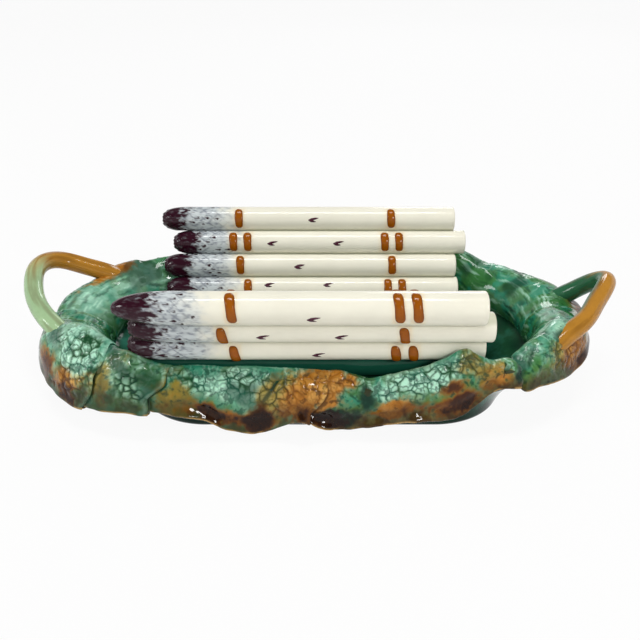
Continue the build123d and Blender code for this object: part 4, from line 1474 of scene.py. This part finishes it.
def stalk_layers(stalk, x, turns, side, rise, points):
    """Paint (purple, hatch, wash, seam) and stain (halo, bleed, cloud) of a stalk."""
    # Seams: pooled glaze and painted shade where neighbouring stalks meet
    seam = ramp(0.80, 1.0, np.abs(rise) / (stalk.pitch / 2))
    seam = seam * np.where(rise > 0, float(stalk.row > 1), 1.0)
    halo = np.zeros_like(seam)
    for place in straw_places(stalk.wall, stalk.row):
        for face in (1, -1):
            middle, arc = straw_span(stalk, face)
            around = np.abs((turns - middle + math.pi) % (2 * math.pi) - math.pi) * stalk.radius
            beyond = np.maximum(np.abs(x - place) - STRAW_WIDTH / 2, around - arc / 2 * stalk.radius)
            halo = np.maximum(halo, np.exp(-np.maximum(beyond, 0) / HALO_REACH))
    height = points[..., 2] - BED_TOP
    cloud = layered_noise(points / STAIN_SIZE, stalk.seed + 3)
    bleed = ramp(*RUN_HEIGHTS, height) * (side > 0) * (0.4 + 1.4 * cloud)
    bleed = np.clip(bleed + 0.8 * ramp(POOL_HEIGHT, 0, height), 0, 1)
    if stalk.row == ROWS[-1]:
        bleed = np.maximum(bleed, (side > RUN_SIDE) * 1.0)
    paint = np.stack([*bud_paint(stalk, x - stalk.tip, turns, points), seam], axis=-1)
    return {"paint": paint, "stain": np.stack([halo, bleed, cloud, np.ones_like(halo)], axis=-1)}


def painted_stalk(stalk, settings, material):
    """One stalk with its uneven surface and painted bud, seams and straw halos."""
    x, turns, side, rise, points = stalk_surface(stalk, settings)
    layers = stalk_layers(stalk, x, turns, side, rise, points)
    rows, columns = x.shape
    faces = grid_faces(rows, columns)
    count, last = rows * columns, (rows - 1) * columns
    for column in range(columns):
        after = (column + 1) % columns
        faces += [[count, after, column], [count + 1, last + column, last + after]]
    poles = [[end, *stalk.middle[1:]] for end in (stalk.tip, stalk.cut_end)]
    points = np.concatenate([points.reshape(-1, 3), poles])
    for key, ends in POLE_LAYERS.items():
        layers[key] = np.concatenate([layers[key].reshape(-1, 4), ends])
    return add_piece(f"{stalk.node}_painted", points, faces, material, layers, (stalk.node,))


def stalk_material(settings):
    """Ivory glaze with a painted bud, grey-green seams of pooled glaze and painted shade, warm halos and
    green that has run.
    """

    def paint(nodes):
        purple, hatch, wash, seam = nodes.layers("paint")
        halo, bleed, cloud, _ = nodes.layers("stain")
        warm = nodes.mix(cloud, settings.cream, [0.95 * part for part in settings.cream])
        colour_now = nodes.mix(nodes.maths("MULTIPLY", seam, 0.55), warm, settings.seam)
        colour_now = nodes.mix(nodes.maths("MULTIPLY", wash, 0.75), colour_now, settings.wash)
        colour_now = nodes.mix(nodes.maths("MULTIPLY", hatch, 0.95), colour_now, settings.hatch)
        colour_now = nodes.mix(nodes.maths("MULTIPLY", halo, 0.5), colour_now, settings.halo)
        colour_now = nodes.mix(purple, colour_now, settings.purple)
        return nodes.mix(bleed, colour_now, settings.bleed)

    return glazed_material("stalk_glaze_painted", paint, size=0.03, amount=0.12, ripple=0.04, roughness=0.1)


def bud_scale_mesh(settings):
    """One pointed scale, its point along -X and its back on the bud, a few dozen faces."""
    points = []
    for row in range(SCALE_POINTS):
        t = row / (SCALE_POINTS - 1)
        at_point = row == SCALE_POINTS - 1
        wave = math.sin(math.pi * min(1.0, 0.28 + 0.72 * (1 - t)))
        half = 0.0 if at_point else 0.5 * wave**0.8 * (1 - 0.15 * t)
        for column in range(SCALE_POINTS):
            c = 2 * column / (SCALE_POINTS - 1) - 1
            crown = (1 - c * c) * (0.35 + 0.65 * t) * (0.3 if at_point else 1)
            height = settings.scale_height / SCALE_SIZE * crown - SCALE_SINK
            points.append((0.5 - SCALE_LENGTH * t, c * half, height))
    return new_mesh("bud_scale", points, sheet_faces(SCALE_POINTS, SCALE_POINTS))


SCATTER_INPUTS = (
    ("Geometry", "Geometry"),
    ("Piece", "Object"),
    ("Size", "Float"),
    ("Material", "Material"),
)


def scatter_tree():
    """Geometry nodes that set a copy of one piece on each point, turned and sized by its attributes."""
    tree = bpy.data.node_groups.new("Set on stalks", "GeometryNodeTree")
    sockets = {}
    for label, kind in SCATTER_INPUTS:
        sockets[label] = tree.interface.new_socket(label, in_out="INPUT", socket_type=f"NodeSocket{kind}")
    tree.interface.new_socket("Geometry", in_out="OUTPUT", socket_type="NodeSocketGeometry")
    nodes = Nodes(tree)
    enter, leave = nodes.add("NodeGroupInput"), nodes.add("NodeGroupOutput")
    source = nodes.add("GeometryNodeObjectInfo")
    turn = nodes.add("GeometryNodeInputNamedAttribute", data_type="FLOAT_VECTOR")
    turn.inputs["Name"].default_value = "turn"
    size = nodes.add("GeometryNodeInputNamedAttribute", data_type="FLOAT")
    size.inputs["Name"].default_value = "size"
    whole = nodes.maths("MULTIPLY", size.outputs["Attribute"], enter.outputs["Size"])
    place = nodes.add("GeometryNodeInstanceOnPoints")
    real = nodes.add("GeometryNodeRealizeInstances")
    finish = nodes.add("GeometryNodeSetMaterial")
    nodes.link(enter.outputs["Piece"], source.inputs["Object"])
    nodes.link(enter.outputs["Geometry"], place.inputs["Points"])
    nodes.link(source.outputs["Geometry"], place.inputs["Instance"])
    nodes.link(turn.outputs["Attribute"], place.inputs["Rotation"])
    nodes.link(whole, place.inputs["Scale"])
    nodes.link(place.outputs["Instances"], real.inputs["Geometry"])
    nodes.link(real.outputs["Geometry"], finish.inputs["Geometry"])
    nodes.link(enter.outputs["Material"], finish.inputs["Material"])
    nodes.link(finish.outputs["Geometry"], leave.inputs["Geometry"])
    return tree, {label: socket.identifier for label, socket in sockets.items()}


def scattered(name, mesh, spots, size, material):
    """A plain mesh of copies of a piece, set on spots given as (point, turn as Euler angles, size)."""
    tree, keys = scatter_tree()
    piece = add_object(f"{name}_piece", mesh)
    points = new_mesh(name, [spot[0] for spot in spots], [])
    turns = points.attributes.new("turn", "FLOAT_VECTOR", "POINT")
    turns.data.foreach_set("vector", [value for spot in spots for value in spot[1]])
    sizes = points.attributes.new("size", "FLOAT", "POINT")
    sizes.data.foreach_set("value", [spot[2] for spot in spots])
    carrier = add_object(f"{name}_points", points)
    modifier = carrier.modifiers.new("Set on stalks", "NODES")
    modifier.node_group = tree
    modifier[keys["Piece"]] = piece
    modifier[keys["Size"]] = size
    modifier[keys["Material"]] = material
    evaluated = carrier.evaluated_get(bpy.context.evaluated_depsgraph_get())
    made = bpy.data.meshes.new_from_object(evaluated)
    carrier.modifiers.remove(modifier)
    bpy.data.objects.remove(carrier)
    bpy.data.objects.remove(piece)
    made.name = name
    made.shade_smooth()
    if not made.polygons:
        raise RuntimeError(f"{name} has no faces")
    return add_object(name, made)


class PLATE_OT_stalks(bpy.types.Operator):
    """Makes the painted stalks of both walls"""

    bl_idname = "plate.stalks"
    bl_label = "Stalks"

    def execute(self, context):
        settings = context.scene.plate_stalk
        material = stalk_material(settings)
        for stalk in STALKS.values():
            painted_stalk(stalk, settings, material)
        return {"FINISHED"}


def frame_turn(x_axis, z_axis):
    """Euler angles of a frame whose x and z axes are given."""
    x_axis, z_axis = Vector(x_axis).normalized(), Vector(z_axis).normalized()
    y_axis = z_axis.cross(x_axis).normalized()
    x_axis = y_axis.cross(z_axis)
    return Matrix((x_axis, y_axis, z_axis)).transposed().to_euler()


def bud_spots(stalk, settings):
    """Spots for the scales of a bud, in rings that shift by half a step."""
    profile_x, profile_radius = stalk_profile(stalk, settings.step).T
    slope = np.clip(np.gradient(profile_radius, profile_x), -SCALE_STEEPEST, SCALE_STEEPEST)
    spots = []
    for row in range(settings.scale_rows):
        x = stalk.tip + (row + 1) / 2 * BUD_STEP
        radius = float(np.interp(x, profile_x, profile_radius))
        lean = float(np.interp(x, profile_x, slope))
        grow = (0.45 + 0.55 * min(1.0, radius / stalk.radius)) * (1 - 0.35 * row / settings.scale_rows)
        for copy in range(BUD_RING):
            turn = 2 * math.pi * (copy + 0.5 * (row % 2)) / BUD_RING
            if abs(radius * math.sin(turn)) > stalk.pitch / 2 - SCALE_GAP:
                continue
            out = stalk.direction(turn)
            normal = out - np.array([lean, 0, 0])
            tangent = np.array([1.0, 0, 0]) + lean * out
            point = np.array([x, *stalk.middle[1:]]) + out * radius
            spots.append((point.tolist(), frame_turn(tangent, normal), grow))
    return spots


class PLATE_OT_bud_scales(bpy.types.Operator):
    """Sets raised scales round each bud"""

    bl_idname = "plate.bud_scales"
    bl_label = "Bud scales"

    def execute(self, context):
        settings = context.scene.plate_stalk
        mesh = bud_scale_mesh(settings)
        material = bpy.data.materials["stalk_glaze_painted"]
        for stalk in STALKS.values():
            spots = bud_spots(stalk, settings)
            piece = scattered(f"{stalk.node}_scales", mesh, spots, SCALE_SIZE, material)
            self.paint(piece, stalk)
            seat(piece)
        return {"FINISHED"}

    def paint(self, piece, stalk):
        """Gives the scales the same paint as the bud that they stand on."""
        points = np.array([vertex.co for vertex in piece.data.vertices], float)
        offset = points - stalk.middle
        turn = np.arctan2(offset @ stalk.up, offset @ stalk.outward) % (2 * math.pi)
        purple, hatch, wash = bud_paint(stalk, points[:, 0] - stalk.tip, turn, points)
        zero, one = np.zeros_like(purple), np.ones_like(purple)
        put_layer(piece.data, "paint", np.stack([purple, hatch, wash, zero], axis=-1))
        put_layer(piece.data, "stain", np.stack([zero, zero, 0.5 * one, one], axis=-1))


# Straws and bract marks

STRAW_SEED = 40
STRAW_ROWS = 29
STRAW_COLUMNS = 13
STRAW_SINK = 0.35 * MM
STRAW_DEPTH = 0.6 * MM


def straw_grid(stalk, place, face, settings, seed):
    """Points, faces and edge shares of one swollen straw that hugs a stalk."""
    s = np.linspace(-1, 1, STRAW_ROWS)[:, None]
    c = np.linspace(-1, 1, STRAW_COLUMNS)[None, :]
    middle, arc = straw_span(stalk, face)
    luck = hashed(np.array([[seed, stalk.row, int(place / MM)], [seed + 1, face + 2, stalk.row]]), seed)
    slant = (0.9 + 0.5 * luck[0]) * MM * (1 if stalk.wall == "front" else 0.25)
    rounded = (1 - np.abs(s) ** 6) ** 0.5
    half = STRAW_WIDTH / 2 * np.clip(rounded, 0.16, 1) * (1 + 0.05 * np.sin(4 * s + 6 * luck[1]))
    swell = np.clip(1 - np.abs(c) ** 3, 0, 1) * np.clip(1 - np.abs(s) ** 8, 0, 1)
    direction = stalk.direction(middle + s * arc / 2 + 0 * c)
    radius = stalk.radius - STRAW_SINK + (settings.straw_height + STRAW_SINK) * swell**0.6
    upper = direction * radius[..., None] + stalk.middle
    lower = direction * (stalk.radius - STRAW_DEPTH) + stalk.middle
    for sheet in (upper, lower):
        sheet[..., 0] = place + c * half - face * slant * s
    index = np.arange(STRAW_ROWS * STRAW_COLUMNS).reshape(STRAW_ROWS, STRAW_COLUMNS)
    rim = np.concatenate([index[0], index[1:, -1], index[-1, -2::-1], index[-2:0:-1, 0]]).tolist()
    faces = sheet_faces(STRAW_ROWS, STRAW_COLUMNS)
    faces += [[index.size + corner for corner in reversed(quad)] for quad in faces]
    faces += [[b, a, index.size + a, index.size + b] for a, b in zip(rim, rim[1:] + rim[:1])]
    points = np.concatenate([upper.reshape(-1, 3), lower.reshape(-1, 3)])
    return points, faces, np.concatenate([1 - swell.ravel(), np.ones(index.size)])


def straw_material(settings):
    """Amber glaze, darker along the edges of each straw."""

    def paint(nodes):
        edge, _, _, _ = nodes.layers("edge")
        pale = [min(1.0, 1.25 * part) for part in settings.straw]
        pool = nodes.maths("MULTIPLY", edge, 0.85)
        return pooled(nodes, pool, 0.3, pale, settings.straw, settings.straw_edge)

    return glazed_material("straw_glaze_amber", paint, size=0.004, amount=0.5, ripple=0.08, roughness=0.12)


class PLATE_OT_straws(bpy.types.Operator):
    """Makes the amber straws of the four bindings"""

    bl_idname = "plate.straws"
    bl_label = "Binding straws"

    def execute(self, context):
        settings = context.scene.plate_stalk
        material = straw_material(settings)
        for number, (name, (wall, rows)) in enumerate(BINDINGS.items()):
            straws = [
                straw_grid(STALKS[wall, row], place, face, settings, STRAW_SEED + number)
                for row, middle, copies in rows
                for place in straw_row(middle, copies)
                for face in ((1, -1) if row < ROWS[-1] else (-1,))
            ]
            faces, count = [], 0
            for points, part, _ in straws:
                faces += [[count + index for index in face] for face in outward_faces(points, part)]
                count += len(points)
            points = np.concatenate([straw[0] for straw in straws])
            edge = np.concatenate([straw[2] for straw in straws])
            layer = np.stack([edge, edge, edge, np.ones_like(edge)], axis=-1)
            add_piece(f"{name}_straws", points, faces, material, {"edge": layer}, (name,))
        return {"FINISHED"}


# Bract marks: their size, the turns of their places on both faces of a stalk, and each stroke as a share of
# its length, half its width and its height there
BRACT_SIZE = 8.2 * MM
BRACT_TURN = math.radians(8)
INNER_BRACT_TURN = math.radians(188)
LOWEST_BRACT_TURN = math.radians(164)
BRACT_STROKE = ((0.0, 0.09, 0.02), (0.3, 0.16, 0.07), (0.65, 0.12, 0.07), (1.0, 0.02, 0.02))


def bract_mesh():
    """One V-shaped bract mark: two tapered strokes that meet in a point along -X."""
    points, faces = [], []
    for rise in (1, -1):
        start = len(points)
        reach = 1.0 if rise > 0 else 0.72
        for t, half, lift in BRACT_STROKE:
            x, y = t * reach - 0.45, rise * 0.17 * t
            points += [(x, y - half, -0.03), (x, y, lift), (x, y + half, -0.03)]
        for step in range(3):
            a = start + 3 * step
            faces += [(a, a + 3, a + 4, a + 1), (a + 1, a + 4, a + 5, a + 2)]
            faces.append((a + 2, a + 5, a + 3, a))
        faces += [(start, start + 1, start + 2), (start + 11, start + 10, start + 9)]
    return new_mesh("bract_mark", points, faces)


class PLATE_OT_bracts(bpy.types.Operator):
    """Sets the small dark bract marks on both faces of the stalks"""

    bl_idname = "plate.bracts"
    bl_label = "Bract marks"

    def execute(self, context):
        settings = context.scene.plate_stalk
        spots = []
        for wall, row, place in BRACTS:
            stalk = STALKS[wall, row]
            inner = LOWEST_BRACT_TURN if row == ROWS[-1] else INNER_BRACT_TURN
            for turn in (BRACT_TURN, inner):
                out = stalk.direction(turn)
                point = np.array([place * MM, *stalk.middle[1:]]) + out * stalk.radius
                spots.append((point.tolist(), frame_turn((1, 0, 0.04), out), 1.0))
        mark = glazed_material("bract_purple", lambda nodes: settings.mark, size=0.002, amount=0.8)
        seat(scattered("bract_marks", bract_mesh(), spots, BRACT_SIZE, mark))
        return {"FINISHED"}


# Handles

BRANCH_ROWS = 150
BRANCH_COLUMNS = 48
BRANCH_SEED = 300

# Noise of the bark round and along a branch, its lumps, and how its ends are rounded off
BARK_ROUND = 2.6
BARK_ALONG = 5
LUMPS_ALONG = 3
LUMP_SHARE = 0.05
END_SHARE = 0.03
END_ROUND = 0.97


def smooth_path(points, count):
    """Evenly numbered points of a natural cubic curve through the given ones."""
    points = np.asarray(points, float)
    gaps = np.linalg.norm(np.diff(points, axis=0), axis=1)
    at = np.concatenate([[0], np.cumsum(gaps)])
    n = len(points)
    matrix = np.zeros((n, n))
    right = np.zeros((n, 3))
    matrix[0, 0] = matrix[-1, -1] = 1
    for i in range(1, n - 1):
        matrix[i, i - 1 : i + 2] = gaps[i - 1], 2 * (gaps[i - 1] + gaps[i]), gaps[i]
        right[i] = 6 * ((points[i + 1] - points[i]) / gaps[i] - (points[i] - points[i - 1]) / gaps[i - 1])
    bend = np.linalg.solve(matrix, right)
    run = np.linspace(0, at[-1], count)
    i = np.clip(np.searchsorted(at, run) - 1, 0, n - 2)
    gap, t = gaps[i][:, None], ((run - at[i]) / gaps[i])[:, None]
    s = 1 - t
    curve = s * points[i] + t * points[i + 1]
    return curve + gap**2 / 6 * ((s**3 - s) * bend[i] + (t**3 - t) * bend[i + 1])


def branch(name, settings, material):
    """One handle as a branch with long bark grooves, and its green and amber glazes."""
    places = []
    for share, out, up in HANDLES[name]:
        point, outward = rim_at([share])
        places.append((*(point[0] + out * MM * outward[0]), RIM_HEIGHT + up * MM))
    line = smooth_path(places, BRANCH_ROWS)
    ahead = np.gradient(line, axis=0)
    ahead /= np.linalg.norm(ahead, axis=1, keepdims=True)
    side = np.cross(ahead, [0, 0, 1.0])
    side /= np.linalg.norm(side, axis=1, keepdims=True)
    over = np.cross(side, ahead)
    t = np.linspace(0, 1, BRANCH_ROWS)[:, None]
    turn = np.linspace(0, 2 * math.pi, BRANCH_COLUMNS, endpoint=False)[None, :]
    seed = BRANCH_SEED + len(name)
    radius = HANDLE_RADIUS + (HANDLE_FOOT_RADIUS - HANDLE_RADIUS) * (2 * t - 1) ** HANDLE_FOOT_POWER
    near_end = np.clip(1 - np.minimum(t, 1 - t) / END_SHARE, 0, 1)
    radius = radius * np.sqrt(1 - END_ROUND * near_end**2)
    tube = np.broadcast_arrays(BARK_ROUND * np.cos(turn), BARK_ROUND * np.sin(turn), BARK_ALONG * t)
    bark = layered_noise(np.stack(tube, axis=-1), seed)
    groove = ramp(0.5, 0.3, bark)
    lumps = flat_noise(LUMPS_ALONG * t, 0.0, seed + 7) - 0.5
    height = radius * (1 + LUMP_SHARE * lumps) - settings.groove * groove
    out = np.cos(turn)[..., None] * side[:, None, :] + np.sin(turn)[..., None] * over[:, None, :]
    points = line[:, None, :] + height[..., None] * out
    green, dark = np.zeros_like(bark), np.zeros_like(bark)
    if name == "handle_left":
        green = ramp(0.38, 0.62, t + 0.22 * (bark - 0.5))
    else:
        inward = -np.sign(line[:, :1]) * (np.cos(turn) * side[:, :1])
        dark = np.maximum(ramp(0.62, 0.74, t + 0.1 * (bark - 0.5)), ramp(0.2, 0.7, inward))
    layer = np.stack([green, dark, 0.8 * groove, np.ones_like(bark)], axis=-1)
    faces = capped_faces(BRANCH_ROWS, BRANCH_COLUMNS)
    return add_piece(f"{name}_branch", points, faces, material, {"bark": layer}, (name,))


def branch_material(settings):
    """Amber glaze that runs into green, pooled brown in the bark grooves."""

    def paint(nodes):
        green, dark, groove, _ = nodes.layers("bark")
        body = nodes.mix(green, settings.amber, settings.green)
        body = nodes.mix(dark, body, settings.dark_green)
        pool = nodes.maths("MULTIPLY", groove, 0.45)
        return pooled(nodes, pool, 0.0, settings.amber, body, settings.bark)

    return glazed_material("branch_glaze_bark", paint, size=0.012, amount=0.5, ripple=0.06)


class PLATE_OT_handles(bpy.types.Operator):
    """Makes the two branch handles"""

    bl_idname = "plate.handles"
    bl_label = "Handles"

    def execute(self, context):
        settings = context.scene.plate_branch
        material = branch_material(settings)
        for name in HANDLES:
            branch(name, settings, material)
        return {"FINISHED"}


# Basin

# Heights between which the basin is darkened towards the foot with painted shade under the leaves, and the
# clouds in its glaze to the metre
FOOT_LOW = 9 * MM
FOOT_HIGH = 20 * MM
BASIN_CLOUDS = 26.0


class PLATE_OT_basin(bpy.types.Operator):
    """Glazes the basin and the bed, whose solids stay"""

    bl_idname = "plate.basin"
    bl_label = "Basin and bed"

    def execute(self, context):
        settings = context.scene.plate_branch

        def paint(nodes):
            place = nodes.add("ShaderNodeTexCoord").outputs["Object"]
            cloud = nodes.noise(place, BASIN_CLOUDS, 6.0)
            split = nodes.add("ShaderNodeSeparateXYZ")
            nodes.link(place, split.inputs[0])
            # Painted shade: the basin darkens towards the foot, under the overhanging leaves
            foot = nodes.rescale(split.outputs["Z"], FOOT_HIGH, FOOT_LOW)
            deep = nodes.maths("MULTIPLY", nodes.rescale(cloud, 0.58, 0.40), 0.7)
            deep = nodes.maths("MAXIMUM", deep, nodes.maths("MULTIPLY", foot, 0.8))
            thin = nodes.rescale(cloud, 0.55, 0.75)
            return pooled(nodes, deep, thin, settings.basin_pale, settings.basin, settings.basin_pool_and_shade)

        material = glazed_material(
            "basin_glaze_green", paint, size=0.015, amount=0.5, ripple=0.08, shine=0.1
        )
        for name in ("basin", "cradle_bed"):
            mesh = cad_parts[name].data
            mesh.materials.clear()
            mesh.materials.append(material)
        return {"FINISHED"}


# Stage

SWEEP_SIDES = 96
SWEEP_STEPS = 9
SWEEP_RADIUS = 3.0
SWEEP_BEND = 0.6
SWEEP_HEIGHT = 1.3
FLOOR_COLOUR = (0.79, 0.79, 0.78, 1)
FLOOR_WHITE = 0.93
SENSOR_WIDTH = 36.0
NEAREST = 0.01

# Softboxes: place, width, depth and the setting that holds the power
SOFTBOXES = {
    "key_softbox": ((1.0, -1.8, 1.25), 0.38, 0.3, "key_power"),
    "top_softbox": ((0.0, -0.35, 2.3), 0.95, 0.42, "top_power"),
    "side_softbox": ((-1.95, -0.74, 1.07), 0.46, 0.46, "side_power"),
    "back_softbox": ((0.5, 2.0, 1.2), 0.6, 0.6, "back_power"),
}


def background_rays(nodes):
    """1 for the rays that show the background: those of the camera, of gloss and of clear things."""
    rays = nodes.add("ShaderNodeLightPath").outputs
    seen = nodes.maths("MAXIMUM", rays["Is Camera Ray"], rays["Is Glossy Ray"])
    return nodes.maths("MAXIMUM", seen, rays["Is Transmission Ray"])


def softbox(name, place, aim, width, depth, watts):
    """A rectangle of soft light that looks at a point."""
    light = bpy.data.lights.new(name, "AREA")
    light.shape = "RECTANGLE"
    light.size, light.size_y = width, depth
    light.energy = watts
    lamp = add_object(name, light)
    lamp.location = place
    lamp.rotation_euler = (aim - Vector(place)).to_track_quat("-Z", "Y").to_euler()


class PLATE_OT_stage(bpy.types.Operator):
    """Makes the floor, the light and the camera"""

    bl_idname = "plate.stage"
    bl_label = "Stage"

    def execute(self, context):
        settings = context.scene.plate_stage
        self.floor()
        self.sky(settings)
        look = Vector((0, 0, settings.look_height))
        for name, (place, width, depth, key) in SOFTBOXES.items():
            softbox(name, place, look, width, depth, getattr(settings, key))
        camera = add_object("camera", bpy.data.cameras.new("camera"))
        camera.data.lens = settings.lens
        camera.data.sensor_width = SENSOR_WIDTH
        camera.data.clip_start = NEAREST
        away = Vector((0, -math.cos(settings.elevation), math.sin(settings.elevation)))
        camera.location = look + settings.distance * away
        camera.rotation_euler = (-away).to_track_quat("-Z", "Y").to_euler()
        context.scene.camera = camera
        context.scene.view_settings.view_transform = "Standard"
        return {"FINISHED"}

    def floor(self):
        """A pale floor that sweeps up into a low backdrop, white behind the dish, with its shadow kept."""
        turn = np.linspace(0, 2 * math.pi, SWEEP_SIDES, endpoint=False)
        ring = np.stack([np.cos(turn), np.sin(turn), 0 * turn], axis=-1)
        bend = np.linspace(0, math.pi / 2, SWEEP_STEPS)
        out = [*(SWEEP_RADIUS + SWEEP_BEND * (np.sin(bend) - 1)), SWEEP_RADIUS]
        up = [*(SWEEP_BEND * (1 - np.cos(bend))), SWEEP_HEIGHT]
        rings = [r * ring + np.array([0, 0, z]) for r, z in zip(out, up)]
        faces = grid_faces(len(rings), SWEEP_SIDES)
        faces = [list(range(SWEEP_SIDES))] + [face[::-1] for face in faces]
        mesh = new_mesh("floor", np.concatenate(rings).tolist(), faces)
        mesh.shade_smooth()
        material = bpy.data.materials.new("floor")
        nodes = fresh_nodes(material)
        pale = nodes.add("ShaderNodeBsdfDiffuse")
        pale.inputs["Color"].default_value = FLOOR_COLOUR
        white = nodes.add("ShaderNodeEmission")
        mix = nodes.add("ShaderNodeMixShader")
        nodes.link(nodes.maths("MULTIPLY", background_rays(nodes), FLOOR_WHITE), mix.inputs[0])
        nodes.link(pale.outputs[0], mix.inputs[1])
        nodes.link(white.outputs[0], mix.inputs[2])
        nodes.link(mix.outputs[0], nodes.add("ShaderNodeOutputMaterial").inputs["Surface"])
        mesh.materials.append(material)
        floor = add_object("floor", mesh)

    def sky(self, settings):
        """Even light from above the backdrop."""
        world = bpy.data.worlds.new("studio")
        bpy.context.scene.world = world
        nodes = fresh_nodes(world)
        light = nodes.add("ShaderNodeBackground")
        light.inputs["Color"].default_value = (1, 1, 1, 1)
        light.inputs["Strength"].default_value = settings.sky
        nodes.link(light.outputs[0], nodes.add("ShaderNodeOutputWorld").inputs["Surface"])


# Panel and start

SETTINGS = {
    "plate_leaf": LeafSettings,
    "plate_stalk": StalkSettings,
    "plate_branch": BranchSettings,
    "plate_stage": StageSettings,
}
OPERATORS = (
    PLATE_OT_leaves,
    PLATE_OT_stalks,
    PLATE_OT_bud_scales,
    PLATE_OT_straws,
    PLATE_OT_bracts,
    PLATE_OT_handles,
    PLATE_OT_basin,
    PLATE_OT_stage,
)


class PLATE_PT_panel(bpy.types.Panel):
    """Lists the pieces of the plate"""

    bl_label = "Asparagus plate"
    bl_idname = "PLATE_PT_panel"
    bl_space_type = "VIEW_3D"
    bl_region_type = "UI"
    bl_category = "Plate"

    def draw(self, context):
        for operator in OPERATORS:
            self.layout.operator(operator.bl_idname)


def register():
    """Makes the classes and their settings known."""
    for kind in (*SETTINGS.values(), *OPERATORS, PLATE_PT_panel):
        bpy.utils.register_class(kind)
    for key, kind in SETTINGS.items():
        setattr(bpy.types.Scene, key, PointerProperty(type=kind))


def unregister():
    """Takes the settings and the classes away again."""
    for key in SETTINGS:
        delattr(bpy.types.Scene, key)
    for kind in reversed((*SETTINGS.values(), *OPERATORS, PLATE_PT_panel)):
        bpy.utils.unregister_class(kind)


def main():
    """Builds every piece and the stage."""
    register()
    for operator in OPERATORS:
        family, name = operator.bl_idname.split(".")
        getattr(getattr(bpy.ops, family), name)()


if __name__ == "__main__":
    main()
